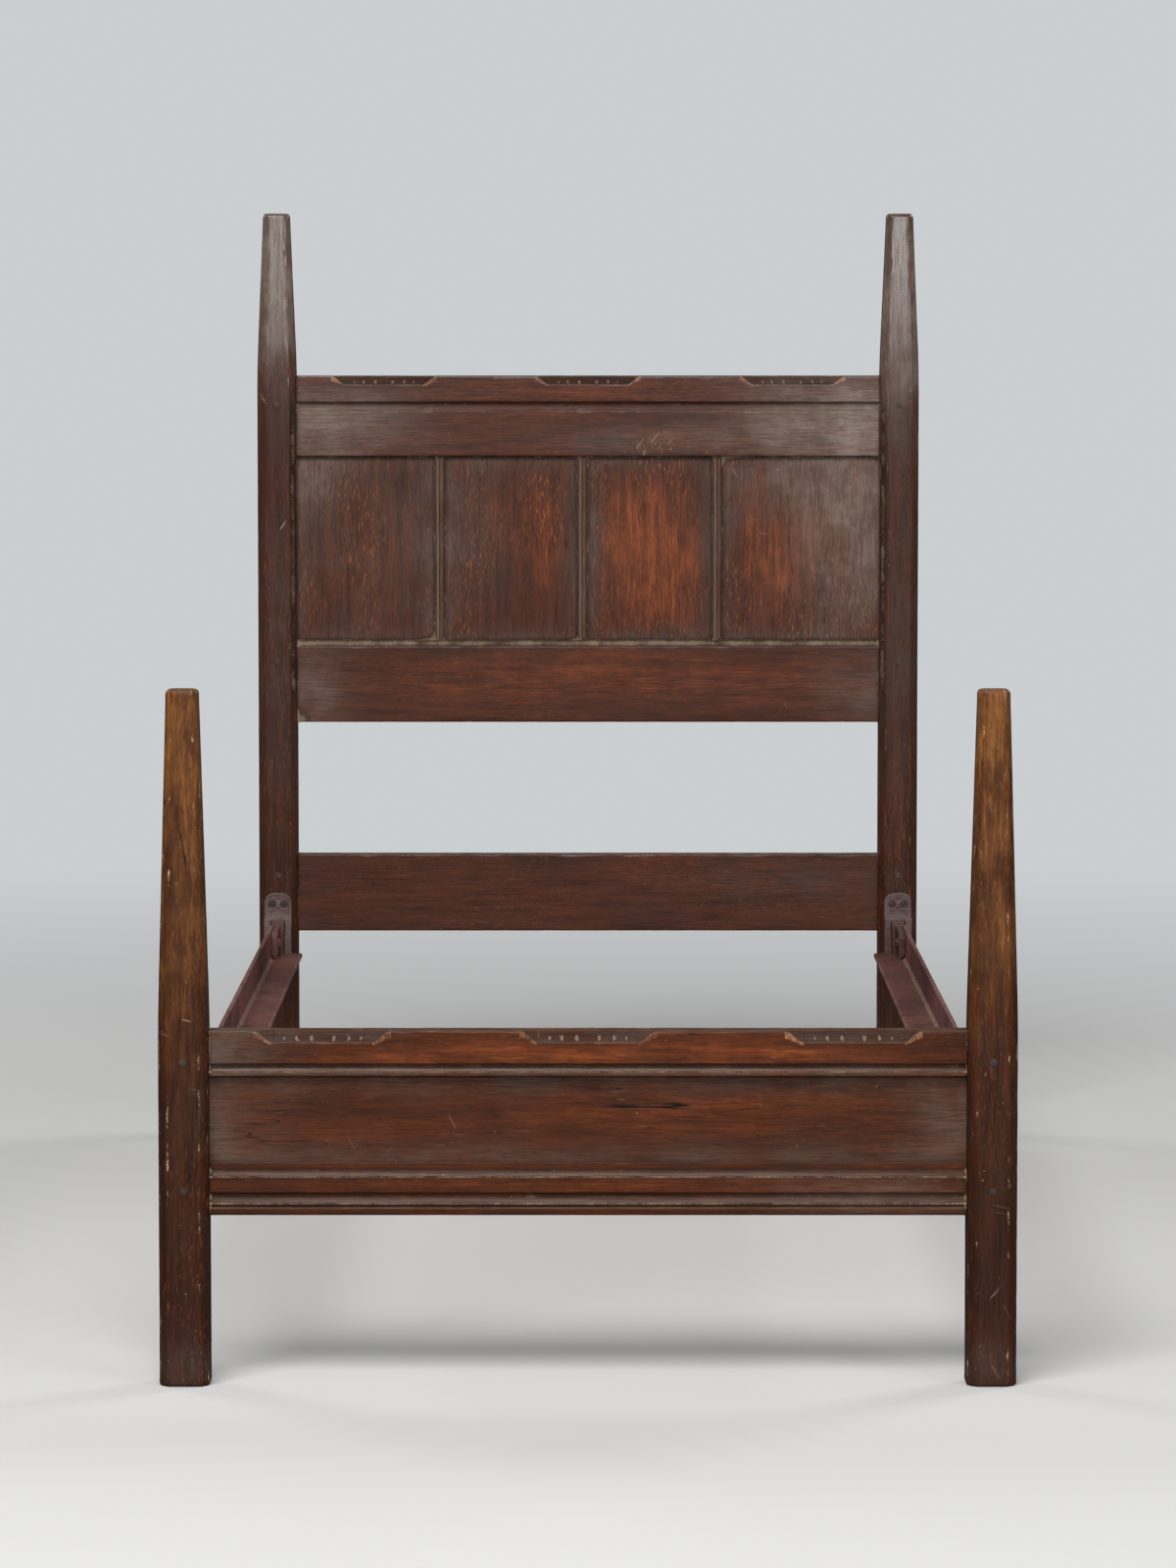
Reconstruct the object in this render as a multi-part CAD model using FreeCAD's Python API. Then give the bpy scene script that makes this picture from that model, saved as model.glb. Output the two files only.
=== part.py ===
import FreeCAD, Part
import os
from math import atan, cos, sin, sqrt, tan

# Panelled oak single bed: a tall headboard and a low footboard, joined by two angle-iron side
# rails that hook into cast sockets on the posts.  All sizes are in millimetres.
# Frame: origin on the floor under the middle of the bed, +X to the right as seen from the foot,
# +Y towards the headboard, +Z up.  The show faces of both ends look towards -Y.

# ---------------------------------------------------------------- overall
overall_width = 940.0            # outside of one post to outside of the other
iron_length = 1930.0             # each angle iron, end to end
head_post_height = 1310.0
foot_post_height = 764.0

# ---------------------------------------------------------------- posts
post_size = 56.0                 # square, before its corners are taken off
post_chamfer = 10.0
post_top_chamfer = 6.5           # the same chamfer where it reaches the small top
head_post_top_size = 38.0
foot_post_top_size = 36.0
taper_start_rise = 8.0           # how far above the top rail the taper begins
taper_ease = 40.0                # length of the curve each side of that point
post_top_bevel = 5.0
post_foot_bevel = 4.0

# ---------------------------------------------------------------- rails and their heights
rail_setback = 11.0              # rail face behind the face of the post
top_rail_thickness = 34.0
plain_rail_thickness = 30.0
head_post_rise = 229.0           # post above the headboard's top rail
head_top_rail_height = 114.0
mid_rail_top = 704.5
mid_rail_height = 116.5
low_rail_top = 399.0
low_rail_height = 110.0
foot_bottom_rail_low = 188.0
foot_bottom_rail_height = 57.0
foot_panel_height = 96.0         # the part that shows
foot_top_rail_height = 50.0

# ---------------------------------------------------------------- mouldings
head_band_height = 37.0          # carved band above the quirk
foot_band_height = 36.0
quirk_height = 3.0
quirk_depth = 7.0
fillet_height = 10.0             # sloping fillet under the headboard's quirk
fillet_setback = 2.5             # fascia behind the carved band
foot_bead_height = 4.0
ledge_run = 8.0                  # bevelled top edge of the mid rail, front to back
ledge_drop = 8.5

# ---------------------------------------------------------------- carved hollows
hollow_length = 150.0
hollow_flat = 108.0
hollow_depth = 12.5
hollow_spacing = 290.0
hollow_back_margin = 3.0

# ---------------------------------------------------------------- joints in the wood
tenon_length = 42.0
tenon_thickness = 12.0
tenon_recess = 11.0              # tenon behind the rail's face
tenon_shoulder = 8.0
top_tenon_shoulder = 20.0        # deeper at the top, where the post's end grain is short
foot_top_tenon_shoulder = 12.0
mortise_play = 0.2
mortise_end_gap = 1.5
peg_diameter = 9.0
peg_drop = 22.0                  # peg centre below the top of the tenon
peg_length = 44.0
peg_play = 0.05

# ---------------------------------------------------------------- panels and muntins
panel_thickness = 9.0
panel_recess = 13.0              # panel face behind the rail's face
groove_play = 0.2
rail_groove_depth = 8.0
panel_end_gap = 1.5
head_panel_widths = [196.5, 190.0, 179.0]   # the first three that show; the fourth takes the rest
muntin_width = 13.0
muntin_thickness = 15.0
muntin_recess = 9.0
muntin_groove_depth = 4.0
muntin_panel_gap = 0.6
muntin_fillet = 2.5              # narrow flat beside the quirk
muntin_quirk = 2.0
muntin_quirk_depth = 3.0
stub_end_gap = 0.5

# ---------------------------------------------------------------- cast sockets
socket_width = 39.0
socket_height = 130.0
socket_top = 345.0               # above the floor
socket_plate = 5.0
socket_depth = 20.0              # front of the jaws from the face of the post
socket_top_radius = 14.0
socket_foot_radius = 10.0
outer_rim_width = 3.5
outer_rim_height = 2.0
inner_rim_inset = 5.5
inner_rim_width = 2.5
inner_rim_height = 1.6
boss_diameter = 15.0
slot_floor_rise = 30.0           # slot floor above the foot of the casting
slot_height = 65.0
slot_seat = 8.0                  # back of the slot from the face of the post
slot_back_top = 28.0
slot_back_bottom = 23.0
slot_mouth_top = 20.0
slot_mouth_bottom = 15.0
slot_clearance = 0.5

# ---------------------------------------------------------------- socket screws
screw_diameter = 5.0
screw_head_diameter = 10.0
screw_head_height = 3.0
screw_length = 25.0
screw_slot = 1.2
screw_play = 0.1
boss_play = 0.3
top_screw_spacing = 16.0
top_screw_drop = 17.0
bottom_screw_spacing = 18.0
bottom_screw_rise = 14.0

# ---------------------------------------------------------------- side irons
angle_leg = 45.0
angle_thickness = 4.5
angle_root_radius = 5.0
angle_toe_radius = 2.5
angle_outset = 10.0              # outer face of the iron, outboard of the middle of the post
angle_base = 256.0               # underside of the ledge above the floor
iron_end_clearance = 4.0         # between the socket's jaws and the end of the iron

# ---------------------------------------------------------------- hook lugs and rivets
lug_head_height = 60.0
tongue_thickness = 9.0
tongue_length = 80.0             # along the iron
tongue_height = 38.0
tongue_corner = 8.0
rivet_diameter = 10.0
rivet_play = 0.05
rivet_head_diameter = 20.0
rivet_head_height = 6.5
rivet_tail_diameter = 16.0
rivet_tail_height = 4.0
rivet_inset = 55.0               # from the end of the iron
rivet_rise = 25.0                # above the underside of the ledge

# ---------------------------------------------------------------- worked out from the above
post_centre = overall_width / 2 - post_size / 2
rail_half = overall_width / 2 - post_size
clear_length = iron_length + 2 * (socket_depth + iron_end_clearance)
head_front = clear_length / 2
foot_front = -clear_length / 2 - post_size
head_top_rail_top = head_post_height - head_post_rise
head_top_rail_low = head_top_rail_top - head_top_rail_height
mid_rail_low = mid_rail_top - mid_rail_height
low_rail_low = low_rail_top - low_rail_height
foot_bottom_rail_top = foot_bottom_rail_low + foot_bottom_rail_height
foot_top_rail_low = foot_bottom_rail_top + foot_panel_height
foot_top_rail_top = foot_top_rail_low + foot_top_rail_height
socket_low = socket_top - socket_height
slot_floor = socket_low + slot_floor_rise
slot_top = slot_floor + slot_height
groove_front = panel_recess - groove_play
groove_back = panel_recess + panel_thickness + groove_play

vector = FreeCAD.Vector


# ---------------------------------------------------------------- shape helpers
def box(x_low, x_high, y_low, y_high, z_low, z_high):
    """A block between two corners."""
    return Part.makeBox(x_high - x_low, y_high - y_low, z_high - z_low, vector(x_low, y_low, z_low))


def section_along_x(points, x_low, x_high):
    """A bar of constant section: (y, z) points carried from x_low to x_high."""
    wire = Part.makePolygon([vector(x_low, y, z) for y, z in points + points[:1]])
    return Part.Face(wire).extrude(vector(x_high - x_low, 0, 0))


def arc(start, middle, end):
    """An arc through three points."""
    return Part.Arc(start, middle, end).toShape()


def line(start, end):
    """A straight edge."""
    return Part.LineSegment(start, end).toShape()


def dome(radius, height, base, direction):
    """A spherical cap standing on a disc of the given radius."""
    sphere_radius = (radius ** 2 + height ** 2) / (2 * height)
    centre = base - direction * (sphere_radius - height)
    ball = Part.makeSphere(sphere_radius, centre)
    keep = Part.makeCylinder(radius * 2, height * 2, base, direction)
    return ball.common(keep)


def placed(shape, side, end):
    """The same piece for the left (side -1) or right, and the foot (end -1) or head."""
    if side < 0:
        shape = shape.mirror(vector(0, 0, 0), vector(1, 0, 0))
    if end < 0:
        shape = shape.mirror(vector(0, 0, 0), vector(0, 1, 0))
    return shape


# ---------------------------------------------------------------- posts
def tapered_outline(width, top_width, height, taper_start):
    """Upright outline in the XZ plane: parallel, eased into a taper, bevelled at both ends."""
    lean = atan((width - top_width) / 2 / (height - taper_start))
    ease_radius = taper_ease / tan(lean / 2)

    def edges_up(sign):
        def at(half, z):
            return vector(sign * half, 0, z)

        half = width / 2
        foot = at(half - post_foot_bevel, 0)
        side_low = at(half, post_foot_bevel)
        ease_low = at(half, taper_start - taper_ease)
        ease_middle = at(
            half - ease_radius * (1 - cos(lean / 2)),
            taper_start - taper_ease + ease_radius * sin(lean / 2),
        )
        ease_high = at(half - taper_ease * sin(lean), taper_start + taper_ease * cos(lean))
        side_high = at(top_width / 2 + post_top_bevel * tan(lean), height - post_top_bevel)
        top = at(top_width / 2 - post_top_bevel, height)
        return [
            line(foot, side_low),
            line(side_low, ease_low),
            arc(ease_low, ease_middle, ease_high),
            line(ease_high, side_high),
            line(side_high, top),
        ], foot, top

    right, right_foot, right_top = edges_up(1)
    left, left_foot, left_top = edges_up(-1)
    edges = right + left + [line(right_foot, left_foot), line(right_top, left_top)]
    return Part.Face(Part.Wire(Part.sortEdges(edges)[0]))


def post_blank(top_size, height, taper_start):
    """An eight-sided post standing on the origin: a square one met by a square one at 45 degrees."""
    across = sqrt(2) * (post_size - post_chamfer)
    across_top = sqrt(2) * (top_size - post_top_chamfer)
    blank = None
    for angle, width, top_width in (
        (0, post_size, top_size),
        (90, post_size, top_size),
        (45, across, across_top),
        (135, across, across_top),
    ):
        slab = tapered_outline(width, top_width, height, taper_start).extrude(
            vector(0, 2 * post_size, 0)
        )
        slab.translate(vector(0, -post_size, 0))
        slab.rotate(vector(0, 0, 0), vector(0, 0, 1), angle)
        blank = slab if blank is None else blank.common(slab)
    return blank


# ---------------------------------------------------------------- rails
class Rail:
    """One rail between the posts of an end, with a tenon at each end of it."""

    def __init__(self, front, low, top, thickness, top_shoulder=tenon_shoulder):
        self.face = front + rail_setback
        self.low = low
        self.top = top
        self.back = self.face + thickness
        self.tenon_low = low + tenon_shoulder
        self.tenon_top = top - top_shoulder
        self.tenon_front = self.face + tenon_recess
        self.tenon_back = self.tenon_front + tenon_thickness
        self.peg_z = self.tenon_top - peg_drop

    def body(self, front_points):
        """The rail: its front outline given from the top down as (depth, z), plain behind."""
        outline = [(self.face + depth, z) for depth, z in front_points]
        outline += [(self.back, self.low), (self.back, self.top)]
        bar = section_along_x(outline, -rail_half, rail_half)
        reach = rail_half + tenon_length
        tenons = box(-reach, reach, self.tenon_front, self.tenon_back, self.tenon_low, self.tenon_top)
        bar = bar.fuse(tenons).removeSplitter()
        for side in (-1, 1):
            bar = bar.cut(self.peg_hole(side))
        return bar

    def mortise(self, side):
        """The hole in the post that takes this rail's tenon."""
        reach = rail_half + tenon_length + mortise_end_gap
        hole = box(
            rail_half,
            reach,
            self.tenon_front - mortise_play,
            self.tenon_back + mortise_play,
            self.tenon_low - mortise_play,
            self.tenon_top + mortise_play,
        )
        return placed(hole, side, 1)

    def peg_hole(self, side):
        """The bore through the post's face and the tenon."""
        return self.peg_shape(side, peg_diameter / 2 + peg_play, peg_length + mortise_end_gap)

    def peg(self, side):
        """The peg, trimmed flush with the post's face."""
        return self.peg_shape(side, peg_diameter / 2, peg_length)

    def peg_shape(self, side, radius, length):
        """A round bar from the post's face inwards."""
        start = vector(side * post_centre, self.face - rail_setback, self.peg_z)
        return Part.makeCylinder(radius, length, start, vector(0, 1, 0))


def panel_groove_along(rail, edge_z, depth):
    """The groove in a rail's edge; depth is positive upwards from the edge."""
    z_low, z_high = sorted((edge_z, edge_z + depth))
    return box(-rail_half, rail_half, rail.face + groove_front, rail.face + groove_back, z_low, z_high)


def hollow_outline(top):
    """Front view of one carved hollow: a flat floor with an S-curve up to the arris at each end."""
    run = (hollow_length - hollow_flat) / 2
    radius = (run ** 2 + hollow_depth ** 2) / (4 * hollow_depth)
    half_turn = atan(hollow_depth / run)
    floor = top - hollow_depth

    def curve_up(sign):
        def at(offset, z):
            return vector(sign * (hollow_flat / 2 + offset), 0, z)

        low = at(0, floor)
        middle = at(run / 2, floor + hollow_depth / 2)
        high = at(run, top)
        low_middle = at(radius * sin(half_turn), floor + radius * (1 - cos(half_turn)))
        high_middle = at(run - radius * sin(half_turn), top - radius * (1 - cos(half_turn)))
        above = at(run, top + hollow_depth)
        return [arc(low, low_middle, middle), arc(middle, high_middle, high), line(high, above)], low, above

    right, right_low, right_above = curve_up(1)
    left, left_low, left_above = curve_up(-1)
    edges = right + left + [line(right_low, left_low), line(right_above, left_above)]
    return Part.Face(Part.Wire(Part.sortEdges(edges)[0]))


def carve_hollows(bar, rail):
    """Take the three hollows out of the front top arris, sloping up towards the back."""
    reach = rail.back - hollow_back_margin
    slope = hollow_depth / (reach - rail.face)
    front = rail.face - 1
    wedge = section_along_x(
        [
            (front, rail.top - hollow_depth - slope),
            (reach, rail.top),
            (reach, rail.top + hollow_depth),
            (front, rail.top + hollow_depth),
        ],
        -rail_half,
        rail_half,
    )
    for step in (-1, 0, 1):
        cutter = hollow_outline(rail.top).extrude(vector(0, reach - front, 0))
        cutter.translate(vector(step * hollow_spacing, front, 0))
        bar = bar.cut(cutter.common(wedge))
    return bar


def head_top_rail(rail):
    """Carved band, quirk, sloping fillet and flat fascia, with a groove for the panels below."""
    quirk_top = rail.top - head_band_height
    bar = rail.body(
        [
            (0, rail.top),
            (0, quirk_top),
            (quirk_depth, quirk_top),
            (quirk_depth, quirk_top - quirk_height),
            (fillet_setback, quirk_top - quirk_height - fillet_height),
            (fillet_setback, rail.low),
        ]
    )
    bar = bar.cut(panel_groove_along(rail, rail.low, rail_groove_depth))
    return carve_hollows(bar, rail)


def head_mid_rail(rail):
    """Flat rail with a bevelled ledge along its top front edge."""
    bar = rail.body([(ledge_run, rail.top), (0, rail.top - ledge_drop), (0, rail.low)])
    return bar.cut(panel_groove_along(rail, rail.top, -rail_groove_depth))


def head_low_rail(rail):
    """Plain rail."""
    return rail.body([(0, rail.top), (0, rail.low)])


def foot_top_rail(rail):
    """Carved band, quirk and a sloping bead above the panel."""
    quirk_top = rail.top - foot_band_height
    bead_top = rail.low + foot_bead_height
    bar = rail.body(
        [
            (0, rail.top),
            (0, quirk_top),
            (quirk_depth, quirk_top),
            (quirk_depth, quirk_top - quirk_height),
            (fillet_setback, bead_top),
            (fillet_setback, rail.low),
        ]
    )
    bar = bar.cut(panel_groove_along(rail, rail.low, rail_groove_depth))
    return carve_hollows(bar, rail)


# Front outline of the footboard's bottom rail: depth behind its foremost face, and drop from its top.
foot_bottom_moulding = [
    (8.0, 0.0),
    (8.0, 8.0),       # fillet under the panel
    (3.0, 16.0),      # first sloping ledge
    (3.0, 32.0),      # fascia
    (6.0, 34.0),      # quirk
    (6.0, 37.0),
    (1.0, 45.0),      # second sloping ledge
    (1.0, 46.0),
    (3.0, 46.5),      # fine quirk
    (3.0, 48.0),
    (0.0, 49.5),      # bead
    (0.0, 53.0),
    (1.0, foot_bottom_rail_height),
]


def foot_bottom_rail(rail):
    """Stepped moulding with a groove for the panel above."""
    bar = rail.body([(depth, rail.top - drop) for depth, drop in foot_bottom_moulding])
    return bar.cut(panel_groove_along(rail, rail.top, -rail_groove_depth))


# ---------------------------------------------------------------- panels and muntins
def panel(rail_above, rail_below, x_low, x_high):
    """A flat panel that stands on the floor of the groove below and stops short of the one above."""
    front = rail_below.face + panel_recess
    return box(
        x_low,
        x_high,
        front,
        front + panel_thickness,
        rail_below.top - rail_groove_depth,
        rail_above.low + rail_groove_depth - panel_end_gap,
    )


def muntin(rail_above, rail_below, x_low):
    """A slim upright: fillet, quirk and round bead in front, a groove each side, stubs at the ends."""
    front = rail_below.face + muntin_recess
    back = front + muntin_thickness
    x_high = x_low + muntin_width
    low, top = rail_below.top, rail_above.low
    bead_low = x_low + muntin_fillet + muntin_quirk
    bead_radius = (x_high - bead_low) / 2
    edges = [
        line(vector(x_low, back, low), vector(x_low, front, low)),
        line(vector(x_low, front, low), vector(x_low + muntin_fillet, front, low)),
        line(
            vector(x_low + muntin_fillet, front, low),
            vector(x_low + muntin_fillet, front + muntin_quirk_depth, low),
        ),
        line(
            vector(x_low + muntin_fillet, front + muntin_quirk_depth, low),
            vector(bead_low, front + muntin_quirk_depth, low),
        ),
        arc(
            vector(bead_low, front + muntin_quirk_depth, low),
            vector(bead_low + bead_radius, front, low),
            vector(x_high, front + muntin_quirk_depth, low),
        ),
        line(vector(x_high, front + muntin_quirk_depth, low), vector(x_high, back, low)),
        line(vector(x_high, back, low), vector(x_low, back, low)),
    ]
    bar = Part.Face(Part.Wire(edges)).extrude(vector(0, 0, top - low))
    face = rail_below.face
    for groove_low, groove_high in (
        (x_low, x_low + muntin_groove_depth),
        (x_high - muntin_groove_depth, x_high),
    ):
        bar = bar.cut(box(groove_low, groove_high, face + groove_front, face + groove_back, low, top))
    stub = rail_groove_depth - stub_end_gap
    stubs = box(
        x_low + muntin_groove_depth,
        x_high - muntin_groove_depth,
        face + panel_recess,
        face + panel_recess + panel_thickness,
        low - stub,
        top + stub,
    )
    return bar.fuse(stubs).removeSplitter()


def post_groove(rail_above, rail_below, side):
    """The groove in a post's inner face for the edge of a panel."""
    groove = box(
        rail_half,
        rail_half + rail_groove_depth,
        rail_below.face + groove_front,
        rail_below.face + groove_back,
        rail_below.top - rail_groove_depth,
        rail_above.low + rail_groove_depth,
    )
    return placed(groove, side, 1)


# ---------------------------------------------------------------- cast sockets and screws
def across(offset):
    """X of a point, given outboard of the middle of the right post."""
    return post_centre + offset


def out(distance):
    """Y of a point that stands this far out from the face of the headboard's post."""
    return head_front - distance


def plate_outline(inset):
    """Outline of the socket's plate on the face of the post, drawn in by inset."""
    half = socket_width / 2 - inset
    low, top = socket_low + inset, socket_top - inset

    def corner(side, z, lift, radius):
        short = radius * (1 - sqrt(0.5))
        beside = vector(across(side * half), out(0), z - lift * radius)
        middle = vector(across(side * (half - short)), out(0), z - lift * short)
        level = vector(across(side * (half - radius)), out(0), z)
        return arc(beside, middle, level), beside, level

    top_radius = socket_top_radius - inset
    foot_radius = socket_foot_radius - inset
    right_top, right_top_beside, right_top_level = corner(1, top, 1, top_radius)
    left_top, left_top_beside, left_top_level = corner(-1, top, 1, top_radius)
    right_low, right_low_beside, right_low_level = corner(1, low, -1, foot_radius)
    left_low, left_low_beside, left_low_level = corner(-1, low, -1, foot_radius)
    edges = [
        right_top,
        left_top,
        right_low,
        left_low,
        line(right_top_level, left_top_level),
        line(left_top_beside, left_low_beside),
        line(left_low_level, right_low_level),
        line(right_low_beside, right_top_beside),
    ]
    return Part.Face(Part.Wire(Part.sortEdges(edges)[0]))


def plate_slab(inset, start, thickness):
    """The plate's outline made a slab that starts this far out from the post."""
    slab = plate_outline(inset).extrude(vector(0, -thickness, 0))
    slab.translate(vector(0, -start, 0))
    return slab


def dovetail(z_low, z_high, inset, front):
    """The socket's wedge: wider behind than at its mouth, and wider at the top than at the floor."""

    def section(z):
        share = (z - slot_floor) / slot_height
        back = (slot_back_bottom + share * (slot_back_top - slot_back_bottom)) / 2 - inset
        mouth = (slot_mouth_bottom + share * (slot_mouth_top - slot_mouth_bottom)) / 2 - inset
        corners = [(-back, slot_seat + inset), (back, slot_seat + inset), (mouth, front), (-mouth, front)]
        points = [vector(across(u), out(n), z) for u, n in corners]
        return Part.makePolygon(points + points[:1])

    return Part.makeLoft([section(z_low), section(z_high)], True, True)


def screw_places():
    """(offset, height) of the four screws in one socket."""
    top_z = socket_top - top_screw_drop
    bottom_z = socket_low + bottom_screw_rise
    return [
        (-top_screw_spacing / 2, top_z),
        (top_screw_spacing / 2, top_z),
        (-bottom_screw_spacing / 2, bottom_z),
        (bottom_screw_spacing / 2, bottom_z),
    ]


def screw_form(offset, z, play):
    """A countersunk screw, or with play the hole that takes it."""
    inwards = vector(0, 1, 0)
    face = vector(across(offset), out(socket_plate), z)
    head = Part.makeCone(
        screw_head_diameter / 2 + play, screw_diameter / 2 + play, screw_head_height, face, inwards
    )
    shank = Part.makeCylinder(screw_diameter / 2 + play, screw_length + play, face, inwards)
    return head.fuse(shank).removeSplitter()


def screw(offset, z):
    """One screw with its driving slot."""
    reach = screw_head_diameter
    slot = box(
        across(offset) - reach,
        across(offset) + reach,
        out(socket_plate),
        out(socket_plate) + screw_slot,
        z - screw_slot / 2,
        z + screw_slot / 2,
    )
    return screw_form(offset, z, 0).cut(slot)


def socket():
    """The headboard's right socket: plate, raised rims, screw bosses and the jaws of the slot."""
    casting = plate_slab(0, 0, socket_plate)
    outer_rim = plate_slab(0, socket_plate, outer_rim_height).cut(
        plate_slab(outer_rim_width, socket_plate, outer_rim_height)
    )
    inner_rim = plate_slab(inner_rim_inset, socket_plate, inner_rim_height).cut(
        plate_slab(inner_rim_inset + inner_rim_width, socket_plate, inner_rim_height)
    )
    outwards = vector(0, -1, 0)
    head_room = screw_head_diameter / 2 + boss_play
    casting = casting.fuse([outer_rim, inner_rim])
    bosses, bores = [], []
    for offset, z in screw_places():
        foot = vector(across(offset), out(socket_plate), z)
        bosses.append(Part.makeCylinder(boss_diameter / 2, inner_rim_height, foot, outwards))
        bores.append(Part.makeCylinder(head_room, outer_rim_height, foot, outwards))
    casting = casting.fuse(bosses)
    jaws = box(
        across(-socket_width / 2),
        across(socket_width / 2),
        out(socket_depth),
        out(0),
        slot_floor - (slot_floor_rise - bottom_screw_rise - boss_diameter / 2),
        slot_top,
    )
    casting = casting.fuse(jaws).removeSplitter()
    casting = casting.cut(dovetail(slot_floor, slot_top + 1, 0, socket_depth + 1))
    for bore, (offset, z) in zip(bores, screw_places()):
        casting = casting.cut(bore).cut(screw_form(offset, z, screw_play))
    return casting


# ---------------------------------------------------------------- side irons, lugs and rivets
iron_outer = post_centre + angle_outset
iron_end = iron_length / 2


def rivet_axis_start():
    """The point where the rivet's axis leaves the outer face of the iron."""
    return vector(iron_outer, iron_end - rivet_inset, angle_base + rivet_rise)


def rivet_bore():
    """The hole through the leg and the tongue for one rivet."""
    length = angle_thickness + tongue_thickness + 2
    start = rivet_axis_start() + vector(1, 0, 0)
    return Part.makeCylinder(rivet_diameter / 2 + rivet_play, length, start, vector(-1, 0, 0))


def rivet():
    """Domed head outside, shank, and a hammered tail on the inner face of the tongue."""
    start = rivet_axis_start()
    length = angle_thickness + tongue_thickness
    inwards = vector(-1, 0, 0)
    shank = Part.makeCylinder(rivet_diameter / 2, length, start, inwards)
    head = dome(rivet_head_diameter / 2, rivet_head_height, start, inwards * -1)
    tail = dome(rivet_tail_diameter / 2, rivet_tail_height, start + inwards * length, inwards)
    return shank.fuse([head, tail]).removeSplitter()


def side_iron():
    """The right angle iron: upright leg outboard, ledge turned in, rounded toes and root."""
    t, leg = angle_thickness, angle_leg
    root, toe = angle_root_radius, angle_toe_radius
    bulge = 1 - sqrt(0.5)

    def at(inward, rise):
        return vector(iron_outer - inward, -iron_end, angle_base + rise)

    edges = [
        line(at(0, 0), at(0, leg)),
        line(at(0, leg), at(t - toe, leg)),
        arc(at(t - toe, leg), at(t - toe * bulge, leg - toe * bulge), at(t, leg - toe)),
        line(at(t, leg - toe), at(t, t + root)),
        arc(at(t, t + root), at(t + root * bulge, t + root * bulge), at(t + root, t)),
        line(at(t + root, t), at(leg - toe, t)),
        arc(at(leg - toe, t), at(leg - toe * bulge, t - toe * bulge), at(leg, t - toe)),
        line(at(leg, t - toe), at(leg, 0)),
        line(at(leg, 0), at(0, 0)),
    ]
    bar = Part.Face(Part.Wire(edges)).extrude(vector(0, iron_length, 0))
    for end in (-1, 1):
        bar = bar.cut(placed(rivet_bore(), 1, end))
    return bar


def hook_lug():
    """The headboard lug of the right iron: a wedge head, and a tongue riveted inside the leg."""
    head_low = slot_floor + slot_clearance
    head = dovetail(head_low, head_low + lug_head_height, slot_clearance, socket_depth)
    tongue_low = angle_base + angle_thickness
    tongue_top = tongue_low + tongue_height
    near = socket_depth - 1
    far = socket_depth + iron_end_clearance + tongue_length
    outline = [
        (near, tongue_low),
        (far, tongue_low),
        (far, tongue_top - tongue_corner),
        (far - tongue_corner, tongue_top),
        (near, tongue_top),
    ]
    x_high = iron_outer - angle_thickness
    tongue = section_along_x([(out(n), z) for n, z in outline], x_high - tongue_thickness, x_high)
    clearing = angle_root_radius + slot_clearance
    corner = Part.makePolygon(
        [
            vector(x_high, out(near), tongue_low),
            vector(x_high - clearing, out(near), tongue_low),
            vector(x_high, out(near), tongue_low + clearing),
            vector(x_high, out(near), tongue_low),
        ]
    )
    tongue = tongue.cut(Part.Face(corner).extrude(vector(0, near - far, 0)))
    return head.fuse(tongue).removeSplitter().cut(rivet_bore())


# ---------------------------------------------------------------- the whole bed
def build_headboard():
    """Posts, rails, panels, muntins and pegs of the headboard."""
    top = Rail(head_front, head_top_rail_low, head_top_rail_top, top_rail_thickness, top_tenon_shoulder)
    mid = Rail(head_front, mid_rail_low, mid_rail_top, plain_rail_thickness)
    low = Rail(head_front, low_rail_low, low_rail_top, plain_rail_thickness)
    rails = (top, mid, low)
    pieces = {
        "headboard_top_rail": head_top_rail(top),
        "headboard_mid_rail": head_mid_rail(mid),
        "headboard_lower_rail": head_low_rail(low),
    }
    x_low = -rail_half - rail_groove_depth + panel_end_gap / 2
    x = -rail_half
    for number, width in enumerate(head_panel_widths, start=1):
        x += width
        edge = x + muntin_groove_depth - muntin_panel_gap
        pieces[f"headboard_panel_{number}"] = panel(top, mid, x_low, edge)
        pieces[f"headboard_muntin_{number}"] = muntin(top, mid, x)
        x += muntin_width
        x_low = x - muntin_groove_depth + muntin_panel_gap
    last = len(head_panel_widths) + 1
    x_high = rail_half + rail_groove_depth - panel_end_gap / 2
    pieces[f"headboard_panel_{last}"] = panel(top, mid, x_low, x_high)
    pieces.update(build_posts("headboard", 1, rails, (top, mid), head_post_top_size, head_post_height))
    return pieces


def build_footboard():
    """Posts, rails, panel and pegs of the footboard."""
    top = Rail(
        foot_front, foot_top_rail_low, foot_top_rail_top, top_rail_thickness, foot_top_tenon_shoulder
    )
    low = Rail(foot_front, foot_bottom_rail_low, foot_bottom_rail_top, top_rail_thickness)
    reach = rail_half + rail_groove_depth - panel_end_gap / 2
    pieces = {
        "footboard_top_rail": foot_top_rail(top),
        "footboard_bottom_rail": foot_bottom_rail(low),
        "footboard_panel": panel(top, low, -reach, reach),
    }
    pieces.update(
        build_posts("footboard", -1, (top, low), (top, low), foot_post_top_size, foot_post_height)
    )
    return pieces


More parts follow.
